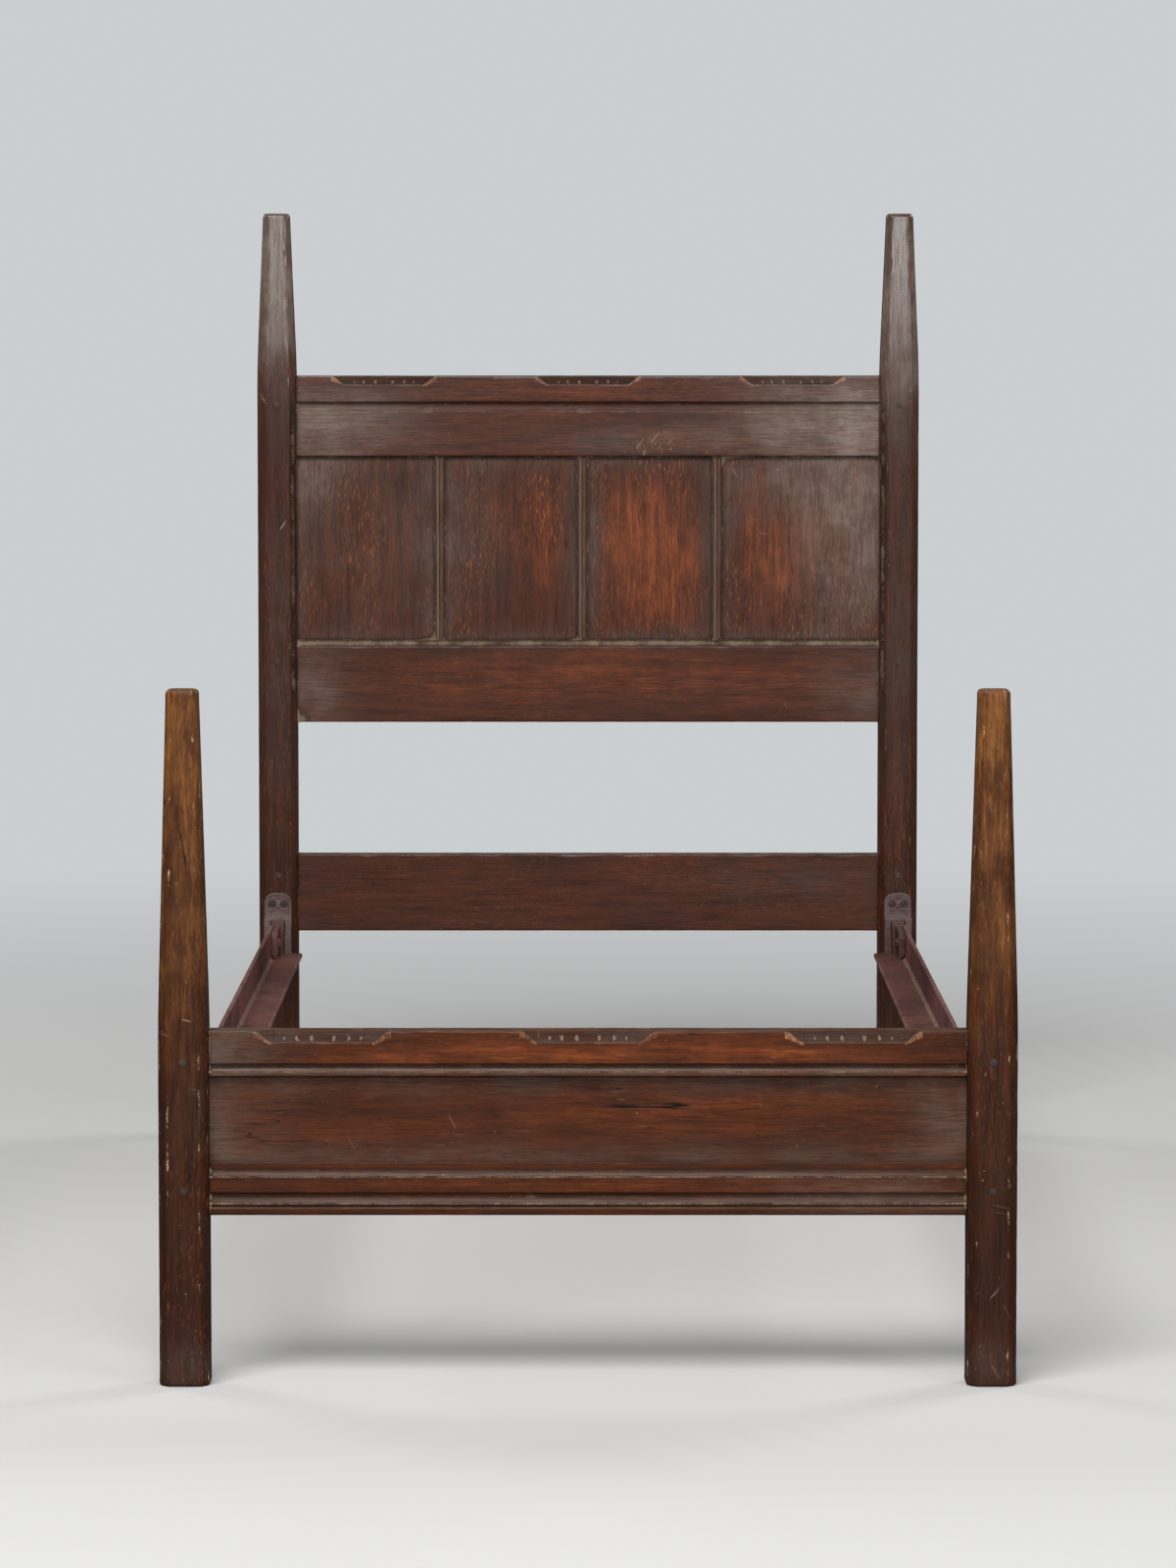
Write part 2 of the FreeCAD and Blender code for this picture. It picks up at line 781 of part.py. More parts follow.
def build_posts(board, end, rails, panel_rails, top_size, height):
    """The two posts of one end with their mortises, groove and screw holes, and the pegs."""
    front = head_front if end > 0 else foot_front
    blank = post_blank(top_size, height, panel_rails[0].top + taper_start_rise)
    pieces = {}
    for side, name in ((-1, "left"), (1, "right")):
        post = blank.copy()
        post.translate(vector(side * post_centre, front + post_size / 2, 0))
        for rail in rails:
            post = post.cut(rail.mortise(side)).cut(rail.peg_hole(side))
        post = post.cut(post_groove(panel_rails[0], panel_rails[1], side))
        for offset, z in screw_places():
            post = post.cut(placed(screw_form(offset, z, screw_play), side, end))
        pieces[f"{board}_post_{name}"] = post
    pieces[f"{board}_pegs"] = Part.makeCompound([rail.peg(side) for rail in rails for side in (-1, 1)])
    return pieces


def build_sockets():
    """Four cast sockets and the screws that hold them."""
    casting = socket()
    pieces = {}
    for end, board in ((1, "headboard"), (-1, "footboard")):
        for side, name in ((-1, "left"), (1, "right")):
            pieces[f"{board}_socket_{name}"] = placed(casting, side, end)
        pieces[f"{board}_socket_screws"] = Part.makeCompound(
            [placed(screw(offset, z), side, end) for side in (-1, 1) for offset, z in screw_places()]
        )
    return pieces


def build_irons():
    """Two side irons, each with a hook lug and a rivet at both ends."""
    iron, lug, fixing = side_iron(), hook_lug(), rivet()
    pieces = {}
    for side, name in ((-1, "left"), (1, "right")):
        pieces[f"{name}_side_iron"] = placed(iron, side, 1)
        pieces[f"{name}_iron_head_lug"] = placed(lug, side, 1)
        pieces[f"{name}_iron_foot_lug"] = placed(lug, side, -1)
        pieces[f"{name}_iron_rivets"] = Part.makeCompound([placed(fixing, side, end) for end in (1, -1)])
    return pieces


def main():
    """Build every piece and write one STEP file for each."""
    os.makedirs("parts", exist_ok=True)
    pieces = {}
    for build in (build_headboard, build_footboard, build_sockets, build_irons):
        pieces.update(build())
    for name, shape in sorted(pieces.items()):
        shape.exportStep(f"parts/{name}.step")
        print(f"{name}: {len(shape.Solids)} solid(s), {shape.Volume / 1000:.1f} cm3, valid {shape.isValid()}")


main()
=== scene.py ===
"""Panelled oak single bed with lift-off iron side rails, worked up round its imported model.

All sizes are in metres.  +X is to the right as seen from the foot, +Y towards the headboard, +Z up.
"""
import logging
import math
from collections.abc import Callable, Sequence
from dataclasses import dataclass, field
from enum import Enum

import bmesh
import bpy
import numpy as np
from mathutils import Euler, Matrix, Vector


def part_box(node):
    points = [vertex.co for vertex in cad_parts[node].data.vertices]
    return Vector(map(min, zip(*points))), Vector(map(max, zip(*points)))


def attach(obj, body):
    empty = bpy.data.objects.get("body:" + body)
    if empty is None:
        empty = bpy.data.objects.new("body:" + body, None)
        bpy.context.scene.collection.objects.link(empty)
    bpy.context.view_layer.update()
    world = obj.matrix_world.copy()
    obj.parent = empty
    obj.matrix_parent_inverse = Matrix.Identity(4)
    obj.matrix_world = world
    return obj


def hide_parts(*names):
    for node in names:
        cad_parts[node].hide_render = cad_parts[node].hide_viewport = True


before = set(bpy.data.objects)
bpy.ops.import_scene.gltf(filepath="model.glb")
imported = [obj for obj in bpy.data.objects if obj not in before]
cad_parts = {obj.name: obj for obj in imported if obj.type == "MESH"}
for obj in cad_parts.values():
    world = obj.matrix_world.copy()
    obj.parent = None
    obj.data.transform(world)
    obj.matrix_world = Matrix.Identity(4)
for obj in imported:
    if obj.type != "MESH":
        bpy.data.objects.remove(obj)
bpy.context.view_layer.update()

POST_CENTRE = 0.442      # middle of each post, out from the middle of the bed
BOARD_SHARP = 40.0       # degrees; edges that turn by more are shaded sharp
FIXING_SHARP = 35.0
ORIGIN = (0.0, 0.0, 0.0)
EFFECT_INPUTS = {        # defaults of the shared effects' inputs; three numbers make a vector
    "oak_grain": {"Grain": ORIGIN, "Wander": 0.02},
    "settled_dust": {"Place": ORIGIN, "Nook": 0.0, "Upward": 0.0, "Lying": 0.6, "Amount": 1.0},
    "worn_arris": {"Place": ORIGIN, "Arris": 0.0, "Amount": 1.0},
    "scratches": {"Place": ORIGIN, "Scored": 0.0, "Amount": 1.0},
    "chipped_paint": {"Place": ORIGIN, "Arris": 0.0},
}
END_STEPS = (0.0012, 0.0028, 0.0055, 0.010)      # points beside a board's arrises
UNDER_EASE = 0.001       # how far a rail's hidden arrises are eased
BACK_EASE = 0.0014
STATION_STEPS = (0.0, 0.0015, 0.004, 0.008)      # rings beside a board's ends
log = logging.getLogger("oak_bed")

Colour = tuple[float, float, float]
Array = np.ndarray
Material = bpy.types.Material
Mesh = bpy.types.Mesh
Node = bpy.types.Node
Piece = bpy.types.Object
Socket = bpy.types.NodeSocket
Tree = bpy.types.NodeTree
Sockets = dict[str, Socket]
Value = Socket | float | tuple
Profile = Sequence[tuple[float, float]]
Section = Sequence[tuple[float, float, float]]


# ---------------------------------------------------------------- named choices
class Body(Enum):
    """What a piece moves with."""

    ENDS = "bed_ends"
    LEFT_IRON = "left_iron"
    RIGHT_IRON = "right_iron"


class Slot(Enum):
    """The name of the finish slot that a piece stands for; castings and fasteners carry it, and nothing reads
    it.
    """

    FRAME = "oak_frame"
    PANEL = "oak_panel"
    PEG = "oak_peg"
    SOCKET = "socket_casting"
    SCREW = "screw_steel"
    IRON = "iron_paint"
    LUG = "lug_casting"


class Along(Enum):
    """Which way a board's grain runs."""

    X = "x"
    Z = "z"


SIDES = ((-1, "left", Body.LEFT_IRON), (1, "right", Body.RIGHT_IRON))


# ---------------------------------------------------------------- small helpers
def hexed(code: str) -> Colour:
    """Turn a six-figure screen colour into a linear one.

    Args:
        code: Six hexadecimal figures.

    Returns:
        Linear red, green and blue.
    """
    shares = [int(code[i:i + 2], 16) / 255 for i in (0, 2, 4)]
    return tuple(s / 12.92 if s <= 0.04045 else ((s + 0.055) / 1.055) ** 2.4 for s in shares)


def span(node: str) -> tuple[Array, Array]:
    """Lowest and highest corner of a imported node."""
    low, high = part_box(node)
    return np.array(low), np.array(high)


def unit(vectors: Array) -> Array:
    """Vectors brought to length one."""
    return vectors / np.maximum(np.linalg.norm(vectors, axis=-1, keepdims=True), 1e-12)


def ease_step(share: Array) -> Array:
    """A smooth step from 0 to 1, clamped at both ends."""
    share = np.clip(share, 0.0, 1.0)
    return share * share * (3 - 2 * share)


def speckle(points: Array, pitch: Sequence[float], seed: int) -> Array:
    """Smooth random values between 0 and 1 at points in space.

    Args:
        points: Places, last axis x, y, z.
        pitch: Size of one lump along x, y and z.
        seed: Picks the pattern.

    Returns:
        One value for each place.
    """
    scaled = points / np.array(pitch)
    cell = np.floor(scaled).astype(np.int64)
    share = scaled - cell
    share = share * share * (3 - 2 * share)
    total = np.zeros(points.shape[:-1])
    for corner in np.ndindex(2, 2, 2):
        at = (cell + np.array(corner)) & 0xFFFFFFFF
        mixed = at[..., 0] * 374761393 + at[..., 1] * 668265263 + at[..., 2] * 1274126177
        mixed = mixed & 0xFFFFFFFF
        mixed = (mixed + seed * 362437) & 0xFFFFFFFF
        mixed = ((mixed ^ (mixed >> 13)) * 1103515245) & 0xFFFFFFFF
        mixed = ((mixed ^ (mixed >> 16)) * 374761393) & 0xFFFFFFFF
        mixed = mixed ^ (mixed >> 15)
        weight = np.prod(np.where(corner, share, 1 - share), axis=-1)
        total += weight * mixed / 0xFFFFFFFF
    return total


def linked(piece: Piece) -> Piece:
    """Put an object in the scene."""
    bpy.context.scene.collection.objects.link(piece)
    return piece


def places_of(mesh: Mesh) -> Array:
    """Read a mesh's points.

    Args:
        mesh: The mesh.

    Returns:
        Their places, one row each.
    """
    places = np.zeros(len(mesh.vertices) * 3)
    mesh.vertices.foreach_get("co", places)
    return places.reshape(-1, 3)


def store(mesh: Mesh, layers: dict[str, Array]) -> None:
    """Store values on a mesh's points.

    Args:
        mesh: The mesh.
        layers: Values by name, one or three numbers for each point.
    """
    for layer, values in layers.items():
        flat = np.ascontiguousarray(values, dtype=np.float32)
        vector = flat.ndim == 2
        made = mesh.attributes.new(layer, "FLOAT_VECTOR" if vector else "FLOAT", "POINT")
        made.data.foreach_set("vector" if vector else "value", flat.ravel())


def shade(mesh: Mesh, sharp: float) -> None:
    """Shade a mesh smooth, apart from edges that turn by more than an angle in degrees."""
    mesh.shade_smooth()
    mesh.set_sharp_from_angle(angle=math.radians(sharp))


def new_mesh(
    name: str, points: Array, faces: list[Sequence[int]], layers: dict[str, Array]
) -> Piece:
    """Make a closed, outward-facing piece at the origin.

    Args:
        name: Name of the piece.
        points: Places of its corners.
        faces: Corner numbers of each face.
        layers: Values carried on the corners, one or three numbers each.

    Returns:
        The object, linked to the scene.
    """
    mesh = bpy.data.meshes.new(name)
    mesh.from_pydata(points.tolist(), [], faces)
    mesh.update()
    shell = bmesh.new()
    shell.from_mesh(mesh)
    if shell.calc_volume(signed=True) < 0:
        bmesh.ops.reverse_faces(shell, faces=shell.faces)
    shell.to_mesh(mesh)
    shell.free()
    store(mesh, layers)
    shade(mesh, BOARD_SHARP)
    return linked(bpy.data.objects.new(name, mesh))


def loft(name: str, rings: Array, layers: dict[str, Array]) -> Piece:
    """Join rings of points into a closed skin.

    Args:
        name: Name of the piece.
        rings: Points, as (ring, place in the ring, xyz).
        layers: Values carried on the points, as (ring, place) or (ring, place, 3).

    Returns:
        The finished object.
    """
    count, around = rings.shape[:2]
    index = np.arange(count * around).reshape(count, around)
    turned = np.roll(index, -1, axis=1)
    quads = np.stack([index[:-1], turned[:-1], turned[1:], index[1:]], axis=-1).reshape(-1, 4)
    faces = quads.tolist() + [index[0, ::-1].tolist(), index[-1].tolist()]
    flat = {key: v.reshape(-1, 3) if v.ndim == 3 else v.ravel() for key, v in layers.items()}
    return new_mesh(name, rings.reshape(-1, 3), faces, flat)


def hand_over(
    piece: Piece, body: Body, material: Material, node: str
) -> None:
    """Dress a finished piece and hand it to the frame.

    Args:
        piece: The finished object.
        body: What it moves with.
        material: Its finish.
        node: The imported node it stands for.
    """
    piece.data.materials.clear()
    piece.data.materials.append(material)
    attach(piece, body.value)
    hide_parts(node)
    log.info("%s: %d faces, rides on %s", piece.name, len(piece.data.polygons), body.value)


# ---------------------------------------------------------------- boards
def graded(length: float, step: float) -> Array:
    """Shares along an edge: close together near both corners, a step apart between.

    Args:
        length: Length of the edge.
        step: Spacing away from the corners.

    Returns:
        Shares between 0 and 1, without the ends.
    """
    near = np.array([d for d in END_STEPS if d < length * 0.45])
    margin = near[-1] if len(near) else 0.0
    middle = length - 2 * margin
    count = max(1, round(middle / step))
    even = margin + middle * np.arange(1, count) / count
    return np.concatenate([near, even, (length - near)[::-1]]) / length


@dataclass(frozen=True)
class Patch:
    """A soft-edged area on the front of the bed."""

    x: float
    z: float
    wide: float
    tall: float
    strength: float = 1.0

    def at(self, points: Array) -> Array:
        """Strength of the patch at points in space.

        Args:
            points: Places, last axis x, y, z.

        Returns:
            One value for each place.
        """
        across = (points[..., 0] - self.x) / self.wide
        up = (points[..., 2] - self.z) / self.tall
        return self.strength * np.exp(-(across ** 2) - up ** 2)


def dust_line(z: float, tall: float, strength: float) -> Patch:
    """A level line as long as the bed is wide, for one wear layer; the thinnest, along arrises, are pale
    lines that are in part painted highlight.
    """
    return Patch(0.0, z, 9.0, tall, strength)


@dataclass(frozen=True)
class Wear:
    """Where a board is bright, filmed over, dusty or scratched; the film layer also carries painted sheen."""

    glow: Sequence[Patch] = ()
    film: Sequence[Patch] = ()
    dusty: Sequence[Patch] = ()
    scored: Sequence[Patch] = ()


@dataclass
class Board:
    """A length of oak: a section with eased arrises carried along the grain.

    Corners are (y, z) for a board along X and (x, y) for a board along Z, either one set for the
    whole length or one set for each station.
    """

    name: str
    along: Along
    corners: Array
    eases: Sequence[float]
    stations: Array
    seed: int
    step: float = 0.007
    edge_steps: dict[int, float] = field(default_factory=dict)
    chip: float = 0.0009
    unevenness: float = 0.00025
    arris_reach: float = 0.0022
    nook_reach: float = 0.0026
    nook_share: float = 1.0
    wear: Wear = Wear()
    end_dust: float = 0.55
    turns: int = 4
    carve: Callable[[Array, dict[str, Array]], None] | None = None

    def section(self) -> tuple[Array, Array, Array]:
        """Ease the corners of the section.

        Returns:
            Points as (station, place, 2), how much of an arris each place is, and how much of a nook.
        """
        corners = self.corners if self.corners.ndim == 3 else self.corners[None]
        total = corners.shape[1]
        sweep = np.linspace(0, 1, self.turns + 1)[None, :, None]
        parts = []
        for i in range(total):
            here, after = corners[:, i, None], corners[:, (i + 1) % total, None]
            before = corners[:, i - 1, None]
            forth = unit(after - here)
            start = here + unit(before - here) * self.eases[i]
            end = here + forth * self.eases[i]
            parts.append((1 - sweep) ** 2 * start + 2 * sweep * (1 - sweep) * here + sweep ** 2 * end)
            stop = after - forth * self.eases[(i + 1) % total]
            length = float(np.linalg.norm(stop[0] - end[0]))
            share = graded(length, self.edge_steps.get(i, self.step))[None, :, None]
            parts.append(end * (1 - share) + stop * share)
        points = np.concatenate(parts, axis=1)
        first = corners[0]
        ahead = np.roll(first, -1, axis=0) - first
        behind = first - np.roll(first, 1, axis=0)
        turn = behind[:, 0] * ahead[:, 1] - behind[:, 1] * ahead[:, 0]
        x, y = first.T
        winding = np.sign(np.sum(x * np.roll(y, -1) - np.roll(x, -1) * y))
        away = np.linalg.norm(points[0][:, None] - first[None], axis=-1)
        convex = turn * winding > 0
        outer = np.clip((np.array(self.eases) - 0.0006) / 0.0008, 0.12, 1.0)[convex]
        arris = (outer * np.exp(-((away[:, convex] / self.arris_reach) ** 2))).max(axis=1)
        nook = np.zeros(len(arris))
        if (~convex).any():
            nook = np.exp(-((away[:, ~convex] / self.nook_reach) ** 2)).max(axis=1)
        return points, arris, nook

    def place(self, points: Array) -> Array:
        """Carry section points to every station, in the bed's own frame.

        Args:
            points: Section points, one set for the whole board or one for each station.

        Returns:
            Points as (station, place, xyz).
        """
        points = np.broadcast_to(points, (len(self.stations), *points.shape[1:]))
        reach = np.broadcast_to(self.stations[:, None, None], (*points.shape[:2], 1))
        if self.along is Along.X:
            return np.concatenate([reach, points], axis=2)
        return np.concatenate([points, reach], axis=2)

    def make(self) -> Piece:
        """Build the board with its wear and the values its finish needs.

        Returns:
            The finished object.
        """
        points, arris, nook = self.section()
        ahead = np.roll(points, -1, axis=1) - np.roll(points, 1, axis=1)
        outward = unit(np.stack([ahead[..., 1], -ahead[..., 0]], axis=-1))
        x, y = points[0].T
        if np.sum(x * np.roll(y, -1) - np.roll(x, -1) * y) < 0:
            outward = -outward
        placed = self.place(points)
        chips = ease_step((speckle(placed, (0.012, 0.012, 0.012), self.seed) - 0.45) / 0.4)
        chips = chips * (0.4 + 0.6 * speckle(placed, (0.004, 0.004, 0.004), self.seed + 1))
        long_lump = (0.3, 0.03, 0.03) if self.along is Along.X else (0.03, 0.03, 0.3)
        waves = speckle(placed, long_lump, self.seed + 2)
        worn = arris * (0.15 * self.chip + self.chip * chips) + self.unevenness * waves
        fade = np.minimum(self.stations - self.stations[0], self.stations[-1] - self.stations)
        worn = worn * np.clip(0.15 + fade / 0.01, 0, 1)[:, None]
        placed = self.place(points - outward * worn[..., None])
        shape = placed.shape[:2]
        layers = {
            "arris": np.broadcast_to(arris, shape) * (0.25 + 0.75 * chips),
            "nook": self.nook_share * np.broadcast_to(nook, shape),
            "bare": np.zeros(shape),
            "grain": self.grain(placed),
        }
        wear = self.wear
        painted = {"glow": wear.glow, "film": wear.film, "scored": wear.scored, "nook": wear.dusty}
        for layer, patches in painted.items():
            below = layers.get(layer, np.zeros(shape))
            layers[layer] = below + sum((patch.at(placed) for patch in patches), np.zeros(shape))
        layers["nook"] += (self.end_dust * np.exp(-((fade / 0.0025) ** 2)))[:, None]
        if self.carve:
            self.carve(placed, layers)
        return loft(self.name, placed, layers)

    def grain(self, placed: Array) -> Array:
        """Across, depth and along the grain for every point, shifted so that no two boards match.

        Args:
            placed: The board's points.

        Returns:
            Three coordinates for each point.
        """
        order = [2, 1, 0] if self.along is Along.X else [0, 1, 2]
        shift = np.array([0.37, 0.71, 1.93]) * (self.seed % 17) + 0.013 * self.seed
        return placed[..., order] + shift


# ---------------------------------------------------------------- node trees for the finishes
class Nodes:
    """Short ways to build a shader tree."""

    prefix = "ShaderNode"

    def __init__(self, tree: Tree) -> None:
        """Hold the tree that is being built."""
        self.tree = tree

    def add(self, kind: str, settings: dict[str, object] | None = None, **inputs: Value) -> Node:
        """Add a node.

        Args:
            kind: Blender's name for the node, without its prefix.
            settings: Properties to set on it.
            inputs: Values or sockets for its inputs, underscores standing for spaces.

        Returns:
            The node.
        """
        node = self.tree.nodes.new(f"{self.prefix}{kind}")
        for key, value in (settings or {}).items():
            setattr(node, key, value)
        for key, value in inputs.items():
            self.feed(node.inputs[key.replace("_", " ")], value)
        return node

    def feed(self, socket: Socket, value: Value) -> None:
        """Link a socket to an input, or set the input's own value.

        Args:
            socket: The input.
            value: What feeds it.
        """
        if isinstance(value, Socket):
            self.tree.links.new(value, socket)
        elif isinstance(value, tuple) and socket.type == "RGBA":
            socket.default_value = (*value[:3], 1.0)
        else:
            socket.default_value = value

    def sum(self, operation: str, first: Value, second: Value = 0.0, clamp: bool = False) -> Socket:
        """One step of arithmetic.

        Args:
            operation: Blender's name for it.
            first: First value.
            second: Second value.
            clamp: Whether the result is kept between 0 and 1.

        Returns:
            The result.
        """
        node = self.add("Math", {"operation": operation, "use_clamp": clamp})
        self.feed(node.inputs[0], first)
        self.feed(node.inputs[1], second)
        return node.outputs[0]

    def times(self, first: Value, second: Value) -> Socket:
        """The product of two values."""
        return self.sum("MULTIPLY", first, second)

    def plus(self, first: Value, second: Value) -> Socket:
        """The sum of two values."""
        return self.sum("ADD", first, second)

    def blend(self, share: Value, first: Value, second: Value) -> Socket:
        """Mix two colours.

        Args:
            share: How much of the second.
            first: First colour.
            second: Second colour.

        Returns:
            The mixed colour.
        """
        node = self.add("Mix", {"data_type": "RGBA"})
        for place, value in ((0, share), (6, first), (7, second)):
            self.feed(node.inputs[place], value)
        return node.outputs[2]

    def layered(self, colour: Value, coats: Sequence[tuple[Value, str]]) -> Socket:
        """Lay coats of colour over one another.

        Args:
            colour: What lies underneath.
            coats: Share and six-figure colour of each coat, lowest first.

        Returns:
            The finished colour.
        """
        for share, code in coats:
            colour = self.blend(share, colour, hexed(code))
        return colour

    def total(self, base: Value, *parts: tuple[Value, float]) -> Socket:
        """Add a share of each of several values to a base.

        Args:
            base: What the sum starts from.
            parts: Each value with its share.

        Returns:
            The sum.
        """
        for value, share in parts:
            base = self.plus(base, self.times(value, share))
        return base

    def dimple(self, shader: Node, height: Value, strength: float, distance: float) -> None:
        """Raise and sink a shader's surface by a height."""
        bump = self.add("Bump", Height=height, Strength=strength, Distance=distance)
        self.feed(shader.inputs["Normal"], bump.outputs[0])

    def remap(
        self, value: Value, low: float, high: float, to_low: float = 0.0, to_high: float = 1.0
    ) -> Socket:
        """Carry a range of values to another, clamped and eased.

        Args:
            value: The value.
            low: Start of its range.
            high: End of its range.
            to_low: What the start becomes.
            to_high: What the end becomes.

        Returns:
            The new value.
        """
        node = self.add("MapRange", {"interpolation_type": "SMOOTHSTEP"}, Value=value)
        limits = {"From Min": low, "From Max": high, "To Min": to_low, "To Max": to_high}
        for key, number in limits.items():
            node.inputs[key].default_value = number
        return node.outputs[0]

    def scaled(self, vector: Value, scale: tuple[float, float, float]) -> Socket:
        """A vector multiplied along each axis.

        Args:
            vector: The vector.
            scale: Factor for each axis.

        Returns:
            The new vector.
        """
        node = self.add("VectorMath", {"operation": "MULTIPLY"})
        self.feed(node.inputs[0], vector)
        node.inputs[1].default_value = scale
        return node.outputs[0]

    def noise(
        self, vector: Value, scale: tuple[float, float, float], detail: float = 2.0, rough: float = 0.5
    ) -> Socket:
        """Soft noise stretched along each axis."""
        laid = self.scaled(vector, scale)
        return self.add("TexNoise", Vector=laid, Scale=1.0, Detail=detail, Roughness=rough).outputs[0]

    def layer(self, name: str, vector: bool = False) -> Socket:
        """Values carried on the piece's own points."""
        node = self.add("Attribute", {"attribute_name": name, "attribute_type": "GEOMETRY"})
        return node.outputs["Vector" if vector else "Fac"]

    def place(self) -> Socket:
        """The piece's own coordinates."""
        return self.add("TexCoord").outputs["Object"]

    def upward(self) -> Socket:
        """How far the surface faces up."""
        split = self.add("SeparateXYZ", Vector=self.add("NewGeometry").outputs["Normal"])
        return split.outputs[2]

    def use(self, fill: Callable, **inputs: Value) -> Sockets:
        """Place a shared effect and return its outputs by name."""
        node = self.add("Group", {"node_tree": effect(fill)}, **inputs)
        return {out.name: out for out in node.outputs}


def effect(fill: Callable[[Nodes, Sockets], Sockets]) -> Tree:
    """Build a shared effect once and keep it.

    Args:
        fill: Fills the tree from its inputs and returns a socket for each output, all single values.

    Returns:
        The node group.
    """
    name = fill.__name__
    found = bpy.data.node_groups.get(name)
    if found:
        return found
    tree = bpy.data.node_groups.new(name, "ShaderNodeTree")
    for key, value in EFFECT_INPUTS[name].items():
        kind = "NodeSocketVector" if isinstance(value, tuple) else "NodeSocketFloat"
        tree.interface.new_socket(key, in_out="INPUT", socket_type=kind).default_value = value
    entry = tree.nodes.new("NodeGroupInput")
    made = fill(Nodes(tree), {out.name: out for out in entry.outputs if out.name})
    for key in made:
        tree.interface.new_socket(key, in_out="OUTPUT", socket_type="NodeSocketFloat")
    leave = tree.nodes.new("NodeGroupOutput")
    for key, socket in made.items():
        tree.links.new(socket, leave.inputs[key])
    return tree


def oak_grain(n: Nodes, given: Sockets) -> Sockets:
    """Growth bands, streaks, pores, ray flecks and drying cracks of oak.

    Args:
        n: The tree to fill.
        given: Its inputs by name.

    Returns:
        A socket for each output.
    """
    grain = given["Grain"]
    drift = n.add("TexNoise", Vector=n.scaled(grain, (7.0, 7.0, 1.7)), Scale=1.0, Detail=2.0)
    centred = n.add("VectorMath", {"operation": "SUBTRACT"})
    n.feed(centred.inputs[0], drift.outputs[1])
    centred.inputs[1].default_value = (0.5, 0.5, 0.5)
    moved = n.add("VectorMath", {"operation": "MULTIPLY_ADD"})
    n.feed(moved.inputs[0], centred.outputs[0])
    n.feed(moved.inputs[1], n.add("CombineXYZ", X=given["Wander"], Y=given["Wander"], Z=0.0).outputs[0])
    n.feed(moved.inputs[2], grain)
    path = moved.outputs[0]
    bands = n.noise(path, (105.0, 70.0, 7.0), 4.0, 0.68)
    streak = n.noise(path, (820.0, 640.0, 30.0), 3.0, 0.62)
    pores = n.remap(n.noise(path, (1700.0, 1500.0, 75.0), 1.0), 0.58, 0.72)
    turned = n.add("Mapping", Vector=path, Rotation=(0.0, 0.22, 0.0), Scale=(520.0, 160.0, 85.0))
    rays = n.add("TexNoise", Vector=turned.outputs[0], Scale=1.0, Detail=2.0, Roughness=0.5).outputs[0]
    fields = n.remap(n.noise(path, (14.0, 14.0, 8.0), 2.0), 0.38, 0.64)
    flecks = n.times(n.remap(rays, 0.57, 0.68), fields)
    line = n.sum("ABSOLUTE", n.plus(n.noise(path, (34.0, 34.0, 1.9), 2.0, 0.6), -0.5))
    where = n.remap(n.noise(path, (9.0, 9.0, 3.0), 1.0), 0.6, 0.68)
    cracks = n.times(n.remap(line, 0.0035, 0.0008), where)
    tone = n.plus(n.times(bands, 0.6), n.times(streak, 0.4))
    rings = n.remap(n.noise(path, (400.0, 330.0, 8.0), 2.0, 0.6), 0.40, 0.52)
    height = n.plus(n.times(tone, 0.5), n.plus(n.times(pores, -0.35), n.times(cracks, -1.0)))
    return {
        "Tone": n.remap(tone, 0.30, 0.70),
        "Streak": n.remap(streak, 0.35, 0.65),
        "Bands": n.remap(bands, 0.38, 0.62),
        "Pores": pores,
        "Flecks": flecks,
        "Cracks": cracks,
        "Rings": rings,
        "Height": height,
    }


def settled_dust(n: Nodes, given: Sockets) -> Sockets:
    """Grime and painted shade that darken the nooks, dust that gathers in them, and dust on faces turned
    upwards.

    Args:
        n: The tree to fill.
        given: Its inputs by name.

    Returns:
        A socket for each output.
    """
    broad = n.noise(given["Place"], (38.0, 38.0, 38.0), 3.0, 0.65)
    fine = n.noise(given["Place"], (480.0, 480.0, 480.0), 2.0, 0.6)
    cloud = n.plus(n.times(broad, 0.6), n.times(fine, 0.4))
    ragged = n.plus(given["Nook"], n.times(n.plus(cloud, -0.5), 1.5))
    gathered = n.times(n.remap(ragged, 0.42, 0.95), n.remap(given["Nook"], 0.05, 0.4))
    lain = n.times(n.remap(given["Upward"], 0.35, 0.95), given["Lying"])
    lain = n.times(lain, n.remap(cloud, 0.38, 0.62, 0.3, 1.0))
    dust = n.sum("MULTIPLY", n.plus(gathered, lain), given["Amount"], True)
    return {"Dust": dust, "Grime": n.remap(n.plus(given["Nook"], n.times(cloud, 0.25)), 0.10, 0.75)}


def worn_arris(n: Nodes, given: Sockets) -> Sockets:
    """Wear that breaks up along the arrises.

    Args:
        n: The tree to fill.
        given: Its inputs by name.

    Returns:
        A socket for each output.
    """
    broad = n.noise(given["Place"], (45.0, 45.0, 45.0), 4.0, 0.7)
    fine = n.noise(given["Place"], (420.0, 420.0, 420.0), 3.0, 0.65)
    ragged = n.plus(given["Arris"], n.times(n.plus(fine, -0.5), 1.1))
    ragged = n.plus(ragged, n.times(n.plus(broad, -0.5), 1.5))
    return {"Worn": n.times(n.remap(ragged, 0.50, 1.15), given["Amount"])}


